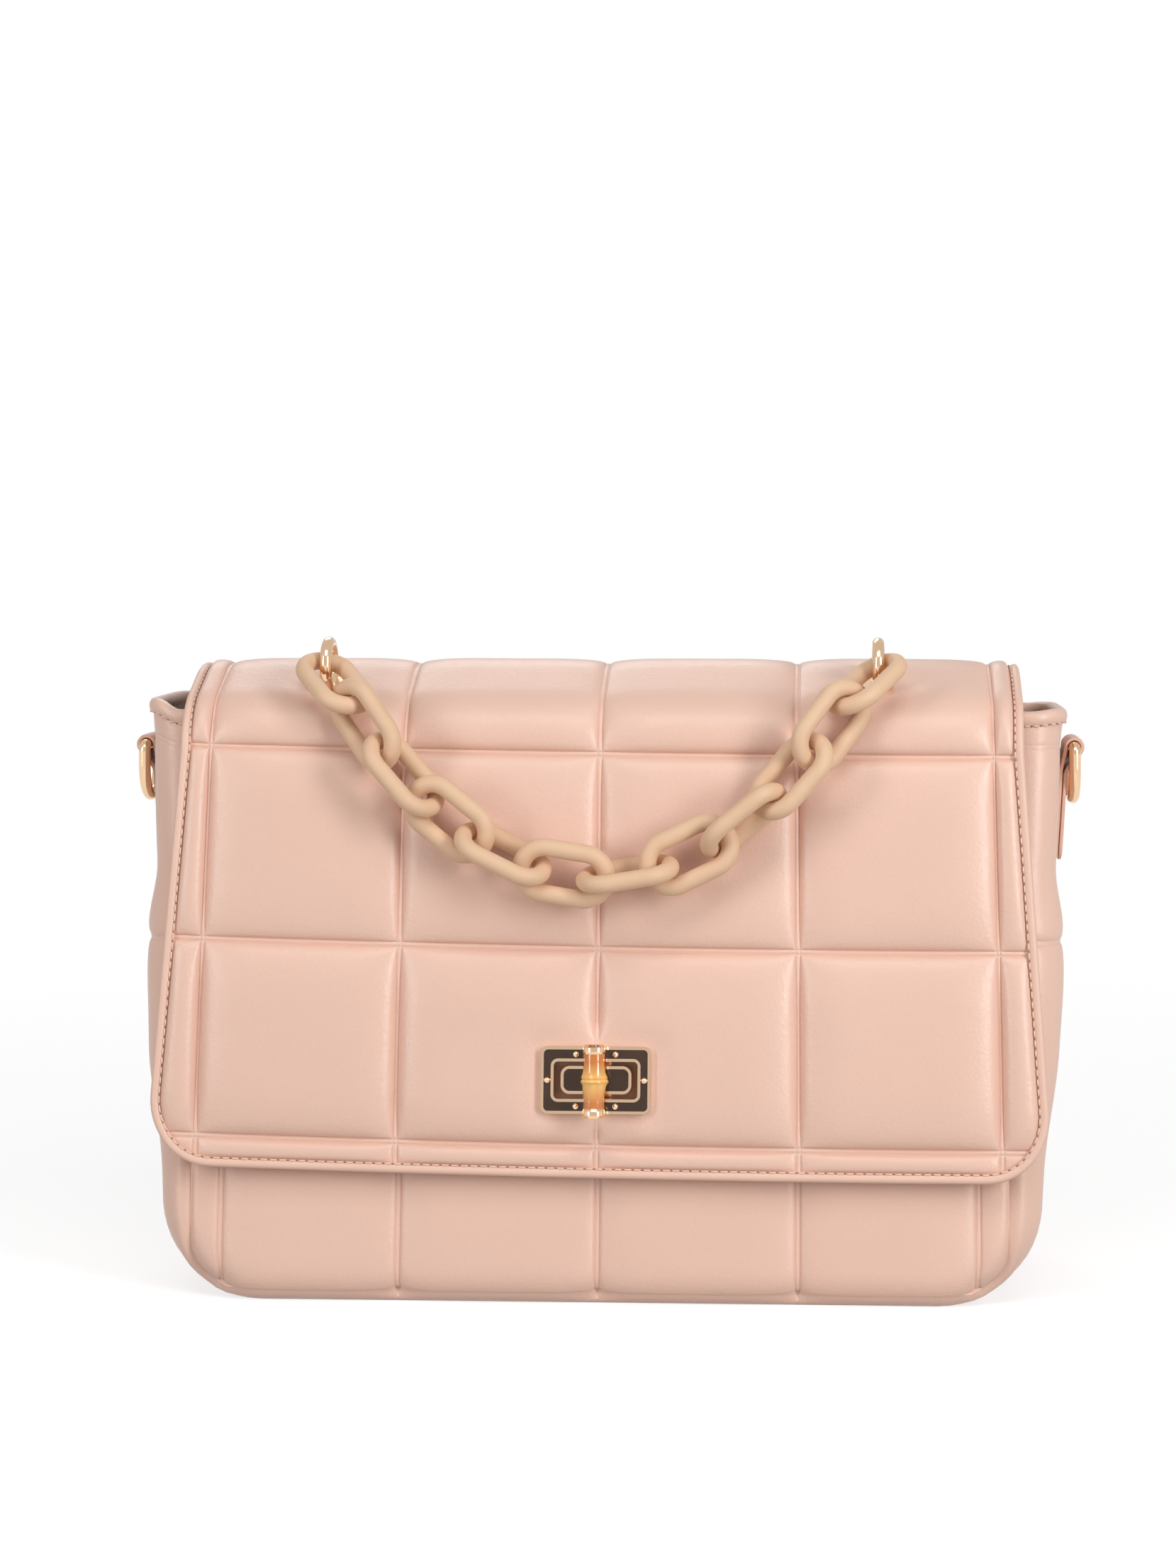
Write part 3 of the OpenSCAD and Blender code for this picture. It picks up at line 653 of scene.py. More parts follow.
def pad(distance):
    """Share of a pad's full height at a distance from a channel's pressed line."""
    q = quilt()
    clear = max(0.0, distance - q.ribbon)
    foot_share = 0.35
    near = 1 - math.exp(-clear / q.near_run)
    far = 1 - (1 - min(clear / q.far_run, 1)) ** 3
    return foot_share * near + (1 - foot_share) * far


def pressed(distance):
    """How much of a pressed line there is at a distance from a channel's middle."""
    q = quilt()
    return bell(distance - q.ribbon, q.line_width)


def ripple(x, y, z, run):
    """Soft unevenness between -1 and 1."""
    return noise.noise(Vector((x, y, z)) / run)


# Flap

# Points (y, z) of the flap's outer face: foot of the front leaf, front bend, top bend and fold at the back
FLAP_PROFILE = [Vector(p) * MM for p in ((-62.7, 44), (-41.2, 205), (2, 224), (43, 208.5))]
FLAP_BENDS = [26 * MM, 40 * MM]
FLAP_ROUTE = Route(fillet(FLAP_PROFILE, FLAP_BENDS, 24))
LEAF_RUN = (FLAP_PROFILE[1] - FLAP_PROFILE[0]).normalized()
FLAP_END = FLAP_ROUTE.length
FOLD_OVERLAP = 16 * MM


def leaf_mark(z):
    """Length along the flap at a height of its front leaf."""
    return (z - FLAP_PROFILE[0].y) / LEAF_RUN.y


def flap_half(z):
    """Half width of the flap at a height."""
    f = flap()
    if z < f.waist_height:
        share = (f.waist_height - z) / (f.waist_height - f.hem_height)
        return f.waist_half + (f.low_half - f.waist_half) * share
    return f.waist_half + (f.top_half - f.waist_half) * smooth(z, f.waist_height, f.waist_height + 30 * MM)


def flap_place(x, s, height):
    """Place of a flat point of the flap: x across, s up from the profile's foot, height over its face."""
    f, q = flap(), quilt()
    share = x / f.low_half
    level = (f.sag * (share * share - 0.5) - f.slant * share)
    slanted = s + level * (1 - smooth(s, leaf_mark(f.waist_height), FLAP_END - 40 * MM))
    (y, z), (run_y, run_z) = FLAP_ROUTE.at(slanted)
    # The upright channels draw together a little towards the top
    narrower = 1.005 - 0.013 * smooth(z, 60 * MM, 220 * MM)
    border = 2 * q.pitch * narrower
    flat_border = 2 * q.pitch
    band = f.edge_width + 0.6 * MM
    half = flap_half(z)
    reach = abs(x)
    if reach > f.low_half - band:
        reach += half - f.low_half
    elif reach > flat_border:
        reach = border + (reach - flat_border) * (half - band - border) / (f.low_half - band - flat_border)
    else:
        reach *= narrower
    return Vector((math.copysign(reach, x), y - run_z * height + body().middle_y, z + run_y * height))


def flap_seams():
    """Upright and level channels, on the flat flap."""
    q = quilt()
    upright = [k * q.pitch for k in range(-2, 3)]
    level = [leaf_mark(q.lowest + k * q.row) for k in range(3)]
    return upright, level + [level[-1] + q.row]


def hem_mark():
    """Length along the flap at its hem."""
    return leaf_mark(flap().hem_height)


def edge_distance(x, s):
    """Distance inwards from the flap's edge, on the flat flap."""
    f = flap()
    return rounded_inset(f.low_half - abs(x), s - hem_mark(), f.corner_round)


def corner_trims(inset):
    """Cuts for the flap's two lower corners."""
    f = flap()
    return lower_corners(f.low_half - f.corner_round, hem_mark() + f.corner_round, f.corner_round - inset)


LOCK_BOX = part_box("lock_frame")
ARCH_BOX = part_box("right_arch")


def lock_press(x, s):
    """1 under the lock's frame and 0 away from it: the frame clamps the padding flat."""
    low, high = LOCK_BOX
    aside = max(0.0, abs(x) - (high.x - low.x) / 2)
    middle = leaf_mark((low.z + high.z) / 2)
    above = max(0.0, abs(s - middle) - (high.z - low.z) / 2)
    return 1 - smooth(math.hypot(aside, above), 0.5 * MM, 9 * MM)


def lock_slot():
    """Grid lines on the sides of the hole under the lock's frame, across and along, and the hole."""
    f = flap()
    middle = leaf_mark(f.lock_height)
    return ((-f.slot_half, f.slot_half), (middle - f.slot_rise, middle + f.slot_rise),
            ((0, middle), f.slot_half, f.slot_rise))


def foot_press(x, s):
    """1 under an arch ring's foot and 0 away from it."""
    low, high = ARCH_BOX
    foot_x = (low.x + high.x) / 2
    past_bend = 12 * MM
    foot_s = leaf_mark(FLAP_PROFILE[1].y) + past_bend
    return 1 - smooth(math.hypot(abs(x) - foot_x, s - foot_s), 4.5 * MM, 12 * MM)


def flap_height(x, s, depth):
    """Height of the flap's leather over its plain face."""
    if depth < 0:
        return depth
    f, q = flap(), quilt()
    upright, level = flap_seams()
    dx, ds = gap(x, upright), gap(s, level)
    edge = edge_distance(x, s) - f.edge_width
    upper_row = smooth(s, leaf_mark(99 * MM), leaf_mark(132 * MM))
    crown = f.crown + f.lower_crown * (1 - upper_row)
    full = pad(dx) * pad(ds) * pad(max(0.0, edge) * 1.5 + q.ribbon)
    wave = 0.35 * MM * ripple(x, s, 1, 34 * MM) + 0.18 * MM * ripple(x, s, 5, 13 * MM)
    top = -f.channel_depth + (f.channel_depth + crown) * full + wave * full
    top -= q.line_depth * max(pressed(dx), pressed(ds)) * smooth(edge, -3 * MM, 0)
    # Over the top bend the leather is stretched, and its channels are shallower
    top_bend = smooth(s, leaf_mark(198 * MM), leaf_mark(214 * MM))
    top += (f.crown - top) * 0.45 * top_bend * smooth(edge, 0, 4 * MM)
    under_metal, under_fold = -0.35 * MM, -2.2 * MM
    press = max(lock_press(x, s), 0.9 * foot_press(x, s))
    top += (under_metal - top) * press
    fold = smooth(s, FLAP_END - 22 * MM, FLAP_END - 6 * MM)
    return top + (under_fold - top) * fold


def flap_crease(x, s, depth):
    """How creased the flap's leather is, on its outer face; the leather's colour gets painted shade there,
    and more roughness.
    """
    if depth < 0:
        return 0
    upright, level = flap_seams()
    lines = max(pressed(gap(x, upright)), pressed(gap(s, level)))
    edge = edge_distance(x, s) - flap().edge_width
    return lines * (1 - lock_press(x, s)) * 0.75 + 0.4 * bell(edge, 1.1 * MM)


class BAG_OT_flap_quilt(bpy.types.Operator):
    """Make the flap's quilted leather with its foam"""

    bl_idname = "bag.flap_quilt"
    bl_label = "Quilted flap"

    def execute(self, context):
        f = flap()
        inset = 1.2 * MM
        upright, level = flap_seams()
        half = f.low_half - inset
        walls_x, walls_s, hole = lock_slot()
        low = hem_mark()
        across = grid_lines(-half, half, [*upright, half - 2 * MM, 2 * MM - half], 3.4 * MM, walls=walls_x)
        along = grid_lines(low + inset, FLAP_END, [*level, low + 3 * MM], 3.2 * MM, walls=walls_s)
        bm = flat_sheet(across, along, f.padding, corner_trims(inset), hole)
        wrap(bm, lambda x, s, d: flap_place(x, s, flap_height(x, s, d)), crease=flap_crease)
        quilted = piece("flap_quilt", bm, "flap", leather(), ("flap_outer", "flap_foam"))
        return {"FINISHED"}


def flap_edge_route(inset, top):
    """Along the flap's edge, flat: down its left side from the top, and round to the right one."""
    f = flap()
    return skirt_route(f.low_half - inset, hem_mark() + inset, top, f.corner_round - inset, 20)


def flap_edge_spots():
    """Places along the flap's edge, with the directions inwards and up from its face."""
    route = flap_edge_route(0, FLAP_END)
    step = 0.5 * MM
    spots = []
    for mark in steps_between(0, route.length, 2.2 * MM):
        (x, s), run = route.at(mark)
        here = flap_place(x, s, 0)
        inward = flap_place(x - run.y * step, s + run.x * step, 0) - here
        up = flap_place(x, s, step) - here
        spots.append((here, inward.normalized(), up.normalized()))
    return spots


class BAG_OT_flap_edge(bpy.types.Operator):
    """Make the flap's rolled and painted edge"""

    bl_idname = "bag.flap_edge"
    bl_label = "Rolled edge"

    def execute(self, context):
        section = ((3.5, -2.5, 0), (3.1, -2.35, 0), (2.6, -1.9, 0), (1.9, -1.5, 0), (1.2, -1.45, 0.1),
                   (0.6, -1.75, 0.4), (0.2, -2.3, 0.8), (0.05, -3.0, 1), (0.1, -3.9, 1), (0.35, -4.8, 1),
                   (0.9, -5.5, 0.6), (1.8, -5.8, 0.2), (3.5, -5.75, 0), (3.5, -4.0, 0))
        profile = [(inward * MM, up * MM, paint) for inward, up, paint in section]
        bm = swept(flap_edge_spots(), profile)
        material = made_once("rolled_edge", edge_paint_material)
        piece("flap_rolled_edge", bm, "flap", material, ("flap_edge_roll",))
        return {"FINISHED"}


class BAG_OT_flap_lining(bpy.types.Operator):
    """Make the flap's inner leather"""

    bl_idname = "bag.flap_lining"
    bl_label = "Flap lining"

    def execute(self, context):
        f = flap()
        inset = 2 * MM
        half = f.low_half - inset
        walls_x, walls_s, hole = lock_slot()
        across = grid_lines(-half, half, [], 5 * MM, walls=walls_x)
        along = grid_lines(hem_mark() + inset, FLAP_END, [], 4 * MM, walls=walls_s)
        bm = flat_sheet(across, along, f.inner, corner_trims(inset), hole)

        def place(x, s, depth):
            sag = 0.25 * MM * ripple(x, s, 9, 28 * MM)
            return flap_place(x, s, depth - f.padding - 0.05 * MM + (sag if depth < 0 else 0))

        # Crease beside the stitched edge, which the leather's colour takes as painted shade.
        wrap(bm, place, crease=lambda x, s, d: 0.3 * bell(edge_distance(x, s) - f.edge_width, MM))
        material = made_once("inner_leather", leather_paint, tuple(0.86 * c for c in colours().leather),
                             colours().leather_deep_and_crease_shade, 0.55, 0.6)
        piece("flap_inner_leather", bm, "flap", material, ("flap_lining",))
        return {"FINISHED"}


# Stitches


def stitch_row(name, spots, rides, wide=1.0):
    """Threads and dark sunk beads in turn, the beads a painted shadow in the needle holes; a spot is a place,
    the row's run and the direction outwards.
    """
    t = stitch()
    bead = bpy.data.meshes.new("bead")
    bm = bmesh.new()
    lying = Matrix.Rotation(math.pi / 2, 4, "Y")
    bmesh.ops.create_uvsphere(bm, u_segments=7, v_segments=5, radius=1, matrix=lying)
    bm.to_mesh(bead)
    bm.free()
    threads, slot_shadows = bmesh.new(), bmesh.new()
    for index, (here, run, out) in enumerate(spots):
        side = run.cross(out).normalized()
        turn = Matrix((run, side, out)).transposed().to_4x4()
        thread = index % 2 == 0
        length = t.length if thread else t.pitch - t.length
        lift = 0.12 * MM if thread else -0.10 * MM
        sizes = (length / 2 * (1.06 if thread else 0.92), t.thickness * wide,
                 t.thickness * wide * (0.8 if thread else 0.5))
        placed = bead.copy()
        placed.transform(Matrix.Translation(here + out * lift) @ turn @ Matrix.Diagonal((*sizes, 1)))
        (threads if thread else slot_shadows).from_mesh(placed)
        bpy.data.meshes.remove(placed)
    bpy.data.meshes.remove(bead)
    # Painted shadow: the dark beads stand for the shade in the needle holes between the threads.
    dark = made_once("needle_slots", plain_paint, colours().slot)
    piece(name, threads, rides, made_once("waxed_thread", thread_paint, colours().thread))
    piece(name + "_slots", slot_shadows, rides, dark)


def stitch_marks(length):
    """Middles of threads and of the painted shadows between them, in turn along a length."""
    t = stitch()
    count = round(length / t.pitch)
    middles = (t.length / 2, t.length + (t.pitch - t.length) / 2)
    return [length * (k + middle / t.pitch) / count for k in range(count) for middle in middles]


def rows_of(route, place):
    """Stitch spots along a flat route, laid on a surface by a place function."""
    step = 0.4 * MM
    spots = []
    for mark in stitch_marks(route.length):
        (u, v), run = route.at(mark)
        here = place(u, v, 0)
        ahead = place(u + run.x * step, v + run.y * step, 0) - here
        out = place(u, v, step) - here
        ahead = (ahead - out * ahead.dot(out) / out.length_squared).normalized()
        spots.append((here, ahead, out.normalized()))
    return spots


class BAG_OT_flap_stitches(bpy.types.Operator):
    """Sew the flap's edge, outside and inside"""

    bl_idname = "bag.flap_stitches"
    bl_label = "Flap stitches"

    def execute(self, context):
        f = flap()
        route = flap_edge_route(f.edge_width, FLAP_END - FOLD_OVERLAP)
        sunk, clear = 2.15 * MM, 0.15 * MM
        outside = rows_of(route, lambda x, s, h: flap_place(x, s, h - sunk))
        stitch_row("flap_stitches", outside, "flap")
        inside = rows_of(route, lambda x, s, h: flap_place(x, s, -h - f.padding - f.inner - clear))
        stitch_row("flap_inner_stitches", inside, "flap")
        return {"FINISHED"}


# Body


def front_y(z):
    """Place of the front wall at a height, from the bag's middle plane."""
    b = body()
    return -b.front - b.front_lean * (b.rim_height - z) / b.rim_height


def back_y(z):
    """Place of the back wall at a height, from the bag's middle plane."""
    b = body()
    return b.back + b.back_lean * (b.rim_height - z) / b.rim_height


def side_x(z):
    """Half width of the body's outline at a height."""
    b = body()
    r = b.corner_round
    if z < r:
        return b.base_half - r + math.sqrt(max(0.0, r * r - (r - z) ** 2))
    return b.rim_half - (b.rim_half - b.base_half) * (b.rim_height - z) / (b.rim_height - r)


def rim_lift(x, z):
    """The rim stands up a little beside the flap, more at its left end."""
    b = body()
    reach = smooth(abs(x), b.rim_half - 13 * MM, b.rim_half - 2 * MM)
    return b.rim_rise * (1 if x < 0 else 0.2) * reach * smooth(z, b.rim_height - 45 * MM, b.rim_height)


def inside_outline(x, z):
    """Distance inwards from the body's outline, and the outline's outward direction there."""
    b = body()
    r = b.corner_round
    middle = Vector((b.base_half - r, r))
    spoke = Vector((abs(x), z)) - middle
    if spoke.x > 0 and spoke.y < 0:
        inset, out = r - spoke.length, spoke.normalized()
    elif side_x(z) - abs(x) < z:
        inset, out = side_x(z) - abs(x), Vector((1, 0))
    else:
        inset, out = z, Vector((0, -1))
    return inset, Vector((math.copysign(out.x, x), out.y))


def rounded_edge(inset):
    """Angle of the surface at an inset from the outline: 0 on the wall and a right angle on the outline."""
    r = body().edge_round
    return math.asin(min(max((r - inset) / r, 0.0), 1.0))


def wall_place(x, z, height, side):
    """Place on the front (-1) or back (+1) wall or on its rounded edges, seen along the depth."""
    b = body()
    inset, out = inside_outline(x, z)
    angle = rounded_edge(inset)
    wall = front_y(z) if side < 0 else back_y(z)
    recess = b.edge_round * (1 - math.cos(angle))
    lean = (b.front_lean if side < 0 else b.back_lean) / b.rim_height
    lift = height * (math.sin(angle) * out.y + math.cos(angle) * lean)
    return Vector((x + height * math.sin(angle) * out.x,
                   wall - side * recess + side * height * math.cos(angle) + b.middle_y,
                   max(0.0, z + lift + rim_lift(x, z))))


def wall_length(z):
    """Length down a wall's section from the rim to a height, round its bottom edge."""
    b = body()
    r = b.edge_round
    if z >= r:
        return b.rim_height - z
    return b.rim_height - r + r * math.asin((r - z) / r)


def wall_height(length):
    """Height at a length down a wall's section: the other way round."""
    b = body()
    r = b.edge_round
    if length <= b.rim_height - r:
        return b.rim_height - length
    return r - r * math.sin((length - b.rim_height + r) / r)


# Distance of the panels' outer channels from the middle
SIDE_CHANNEL = 131.5 * MM


def panel_seams():
    """Upright and level channels of the front and back panels."""
    q = quilt()
    upright = [-SIDE_CHANNEL, -q.pitch, 0, q.pitch, SIDE_CHANNEL]
    return upright, [q.lowest + k * q.row for k in range(3)]


def panel_edge(x, z):
    """Distance inwards from a panel's sewn outline; its top has no seam."""
    b = body()
    return rounded_inset(b.seam_half - abs(x), z - b.seam_low, b.seam_round)


def low_seam(x, z):
    """1 along the panels' level seam, where the leather runs on smoothly, and 0 at their sides."""
    half = body().seam_half
    return (1 - smooth(z, 12 * MM, 24 * MM)) * (1 - smooth(abs(x), half - 18 * MM, half - 6 * MM))


# How much further from its seam the leather seems where it runs on to the base
RUN_ON = 14 * MM


def body_pad(dx, dz, edge, fullness):
    """Height of the body's quilted leather over its plain face."""
    q = quilt()
    depth = 1.7 * MM
    full = pad(dx) * pad(dz) * pad(max(0.0, edge) * 1.3)
    return -depth + (depth + fullness) * full - 0.6 * q.line_depth * max(pressed(dx), pressed(dz))


def panel_height(x, z, depth, side):
    """Height of a panel's leather over the plain wall."""
    if depth < 0:
        return depth
    b = body()
    upright, level = panel_seams()
    edge = panel_edge(x, z) + RUN_ON * low_seam(x, z)
    top = body_pad(gap(x, upright), gap(z, level), edge, 0.9 * MM)
    upright_belly = math.sin(math.pi * min(z / b.rim_height, 1)) ** 1.5
    belly = b.belly * math.cos(math.pi * x / (2.2 * b.rim_half)) * upright_belly
    rim = smooth(z, b.rim_height - 9 * MM, b.rim_height - 3 * MM)
    wave = 0.4 * MM * ripple(x, z, side, 40 * MM) * (1 - low_seam(x, z))
    under_roll = -0.5 * MM
    calm = top + belly + wave
    return calm + (under_roll - calm) * rim


def panel_crease(x, z, depth):
    """How creased a panel's leather is, on its outer face; the leather's colour gets painted shade there, and
    more roughness.
    """
    if depth < 0:
        return 0
    upright, level = panel_seams()
    seam = bell(panel_edge(x, z), 0.9 * MM) * (1 - 0.8 * low_seam(x, z))
    return max(0.7 * max(pressed(gap(x, upright)), pressed(gap(z, level))), 0.9 * seam)


class BAG_OT_panels(bpy.types.Operator):
    """Make the quilted front and back panels"""

    bl_idname = "bag.panels"
    bl_label = "Front and back panels"

    def execute(self, context):
        b = body()
        half, r = b.seam_half, b.seam_round
        upright, level = panel_seams()
        low = wall_length(b.seam_low)
        across = grid_lines(-half, half, [*upright, half - 0.8 * MM, 0.8 * MM - half], 4.5 * MM)
        down = grid_lines(0, low, [*(wall_length(z) for z in level), low - 0.8 * MM], 4.5 * MM)
        trims = lower_corners(half - r, r - low, r)
        for name, node, side in (("front_quilt", "front_panel", -1), ("back_quilt", "back_panel", 1)):
            bm = flat_sheet(across, [-d for d in reversed(down)], b.wall, trims)

            def place(x, v, depth):
                z = wall_height(-v)
                return wall_place(x, z, panel_height(x, z, depth, side), side)

            wrap(bm, place, crease=lambda x, v, d: panel_crease(x, wall_height(-v), d))
            quilted = piece(name, bm, "body", leather(), (node,))
        return {"FINISHED"}


def outline_route():
    """The body's outline seen from the front: down the left side, along the table and up the right side."""
    b = body()
    r = b.corner_round
    turn = [math.radians(6 * k) for k in range(16)]
    right = [Vector((b.base_half - r + r * math.sin(a), r - r * math.cos(a))) for a in turn]
    right.append(Vector((b.rim_half, b.rim_height)))
    return Route([Vector((-p.x, p.y)) for p in reversed(right)] + right)


STRIP_PARTS = 5
# Width of the strip's flange, and how deep it lies under the panel
FLANGE = 3 * MM
FLANGE_SUNK = -2.2 * MM
# A distance from a channel or seam at which nothing of it is left
FAR = 60 * MM


def folded(q):
    """A place across the gusset strip, counted from its nearer seam."""
    return min(q, STRIP_PARTS - q)


class Strip:
    """The gusset strip: t runs along the outline, and q from the front seam over the edge to the back one.

    q up to 1 is a flange under the front panel, up to 2 the rounded edge, up to 3 the side, then all again.
    """

    def __init__(self):
        self.route = outline_route()
        self.seams = {}
        self.level_seams = panel_seams()[1][1:]

    def seam(self, t):
        """Length over the rounded edge, from the outline to the panel's seam."""
        key = round(t, 5)
        if key not in self.seams:
            self.seams[key] = self.edge_length(self.seam_inset(t))
        return self.seams[key]

    def seam_inset(self, t):
        """Distance inwards from the outline to the panel's seam, found by halving."""
        (x, z), run = self.route.at(t)
        low, high = 0.0, 24 * MM
        for _ in range(22):
            inset = (low + high) / 2
            inside = panel_edge(x - run.y * inset, z + run.x * inset) > 0
            low, high = (low, inset) if inside else (inset, high)
        return low

    def edge_length(self, inset):
        """Length over the rounded edge and the wall, from the outline to an inset."""
        r = body().edge_round
        if inset >= r:
            return r * math.pi / 2 + inset - r
        return r * (math.pi / 2 - math.asin((r - inset) / r))

    def section(self, t, q):
        """Inset from the outline, distance behind the wall, outward direction, and length from the seam."""
        r = body().edge_round
        over = folded(q)
        seam = self.seam(t)
        if over >= 2:
            return 0.0, r, (1.0, 0.0), seam
        length = seam + FLANGE * (1 - over) if over < 1 else seam * (2 - over)
        if length > r * math.pi / 2:
            return length - r * math.pi / 2 + r, 0.0, (0.0, 1.0), seam - length
        angle = math.pi / 2 - length / r
        outward = (math.sin(angle), math.cos(angle))
        return r - r * outward[0], r - r * outward[1], outward, seam - length

    def place(self, t, q, height):
        """Place of a flat point of the strip at a height over the plain body."""
        b = body()
        inset, behind, (aside, front), _ = self.section(t, q)
        (x, z), run = self.route.at(t)
        shift = inset - aside * height
        x, z = x - run.y * shift, z + run.x * shift
        low, high = front_y(z) + behind, back_y(z) - behind
        if folded(q) >= 2:
            y = low + (high - low) * (q - 2)
        else:
            y = low - front * height if q < 2 else high + front * height
        return Vector((x, y + b.middle_y, max(0.0, z + rim_lift(x, z))))

    def height(self, t, q, depth):
        """Height of the leather over the plain body."""
        if depth < 0:
            return depth
        over = folded(q)
        if over < 1:
            return FLANGE_SUNK
        b = body()
        (x, z), _ = self.route.at(t)
        *_, from_seam = self.section(t, q)
        seam = from_seam + (max(0.0, over - 2) * 30 * MM)
        # The gusset swells at half height, and is drawn in above it
        high = smooth(z, 120 * MM, 150 * MM)
        swell = smooth(z, 45 * MM, 85 * MM) * (1 - smooth(z, 124 * MM, 150 * MM))
        fullness = 0.9 * MM * (1 - high) - 0.4 * MM * high + b.side_swell * swell
        along_table = low_seam(x, z)
        edge = seam + RUN_ON * along_table
        dx = gap(x, panel_seams()[0]) + FAR * (1 - along_table * (1 - smooth(over, 1.2, 1.9)))
        top = 0.3 * body_pad(dx, self.level_gap(z), edge, fullness) + 0.7 * body_pad(dx, FAR, edge, fullness)
        top -= 0.4 * MM * along_table * (1 - smooth(over, 1, 1.3))
        ridge = 0.9 * MM * bell(seam - 3.5 * MM, 2 * MM) * (1 - high) * (1 - along_table)
        # Its middle folds in a little, but lies flat under the tab
        dent = 2.4 * MM * bell(q - STRIP_PARTS / 2, 0.22) * smooth(z, 60 * MM, 120 * MM)
        rim = smooth(z, b.rim_height - 9 * MM, b.rim_height - 3 * MM)
        tab = (1 - smooth(abs(q - STRIP_PARTS / 2), 0.24, 0.4)) * smooth(z, 142 * MM, 150 * MM)
        wave = 0.35 * MM * ripple(t, q * 12 * MM, 3, 26 * MM) * smooth(z, 4 * MM, 20 * MM)
        under_bag = smooth(over, 1.6, 2) * (1 - smooth(z, 1 * MM, 14 * MM))
        calm = top + ridge - dent * (1 - tab) + wave
        calm += (-0.1 * MM - calm) * under_bag
        return calm + (-0.4 * MM - calm) * max(rim, tab)

    def level_gap(self, z):
        """Distance to the nearest level channel, which only the sides have."""
        return gap(z, self.level_seams) if z > 40 * MM else FAR

    def crease(self, t, q, depth):
        """How creased the strip's leather is, on its outer face; the leather's colour gets painted shade
        there, and more roughness.
        """
        if depth < 0:
            return 0
        (x, z), _ = self.route.at(t)
        *_, from_seam = self.section(t, q)
        seam = from_seam if folded(q) < 2 else FAR
        line = pressed(self.level_gap(z))
        return max(0.5 * line, 0.9 * bell(seam, 0.9 * MM) * (1 - 0.8 * low_seam(x, z)))

    def at_height(self, z):
        """Where the outline passes a height on the left side."""
        b = body()
        side = (self.route.points[1] - self.route.points[0]).length
        return side * (b.rim_height - z) / (b.rim_height - b.corner_round)


class BAG_OT_gussets(bpy.types.Operator):
    """Make the two side gussets and the base from one strip round the outline"""

    bl_idname = "bag.gussets"
    bl_label = "Gussets and base"

    def execute(self, context):
        b = body()
        strip = Strip()
        length = strip.route.length
        middle = length / 2
        splits = (0.0, middle - b.base_half_split, middle + b.base_half_split, length)
        names = (("left_side", "left_gusset"), ("base_strip", "base_panel"), ("right_side", "right_gusset"))
        pinched = [strip.at_height(z) for z in strip.level_seams]
        flange, edge = [0, 0.8], [1, 1.06, 1.14, 1.24, 1.36, 1.48, 1.6, 1.7, 1.8, 1.9]
        half = flange + edge + [2 + k / 16 for k in range(9)]
        across = half + [STRIP_PARTS - q for q in reversed(half[:-1])]
        for (name, node), low, high in zip(names, splits, splits[1:]):
            marks = [t for t in pinched + [length - t for t in pinched] if low < t < high]
            ends = [e for e in (low, high) if 0 < e < length]
            if node == "base_panel":
                marks += [middle + x for x in panel_seams()[0] if abs(x) < b.base_half_split]
            along = grid_lines(low, high, marks + ends, 4 * MM)
            bm = flat_sheet(along, across, b.wall)
            wrap(bm, lambda t, q, d: strip.place(t, q, strip.height(t, q, d)), crease=strip.crease)
            piece(name, bm, "body", leather(), (node,))
        return {"FINISHED"}


class BAG_OT_rim(bpy.types.Operator):
    """Make the rolled rim of the body and its stitches"""

    bl_idname = "bag.rim"
    bl_label = "Rim"

    def execute(self, context):
        b = body()
        section = ((0.15, -5.2), (0.65, -4.6), (1.15, -3.4), (1.25, -2.0), (0.95, -0.6), (0.3, 0.4),
                   (-0.7, 0.85), (-2.0, 0.95), (-3.2, 0.55), (-3.95, -0.5), (-4.1, -2.2), (-3.9, -4.0),
                   (-3.4, -5.2), (-1.6, -4.6))
        profile = [(out * 0.85 * MM, up * 0.85 * MM, 0) for out, up in section]
        route = box_route(b.rim_half, front_y(b.rim_height), back_y(b.rim_height), b.edge_round, 10)
        spots = []
        for mark in steps_between(0, route.length, 3 * MM)[:-1]:
            (x, y), run = route.at(mark)
            z = b.rim_height + rim_lift(x, b.rim_height)
            z += 0.3 * MM * ripple(x, y, 2, 30 * MM)
            spots.append((Vector((x, y + b.middle_y, z)), Vector((run.y, -run.x, 0)), Vector((0, 0, 1))))
        bm = swept(spots, profile, closed=True)
        piece("rim_roll", bm, "body", leather(), ("rim_band",))

        row = []
        for mark in stitch_marks(route.length):
            (x, y), run = route.at(mark)
            out = Vector((run.y, -run.x, 0))
            z = b.rim_height - 4.2 * MM + rim_lift(x, b.rim_height)
            here = Vector((x, y + b.middle_y, z)) + out * 0.45 * MM
            row.append((here, Vector((run.x, run.y, 0)), out))
        stitch_row("rim_stitches", row, "body")
        return {"FINISHED"}


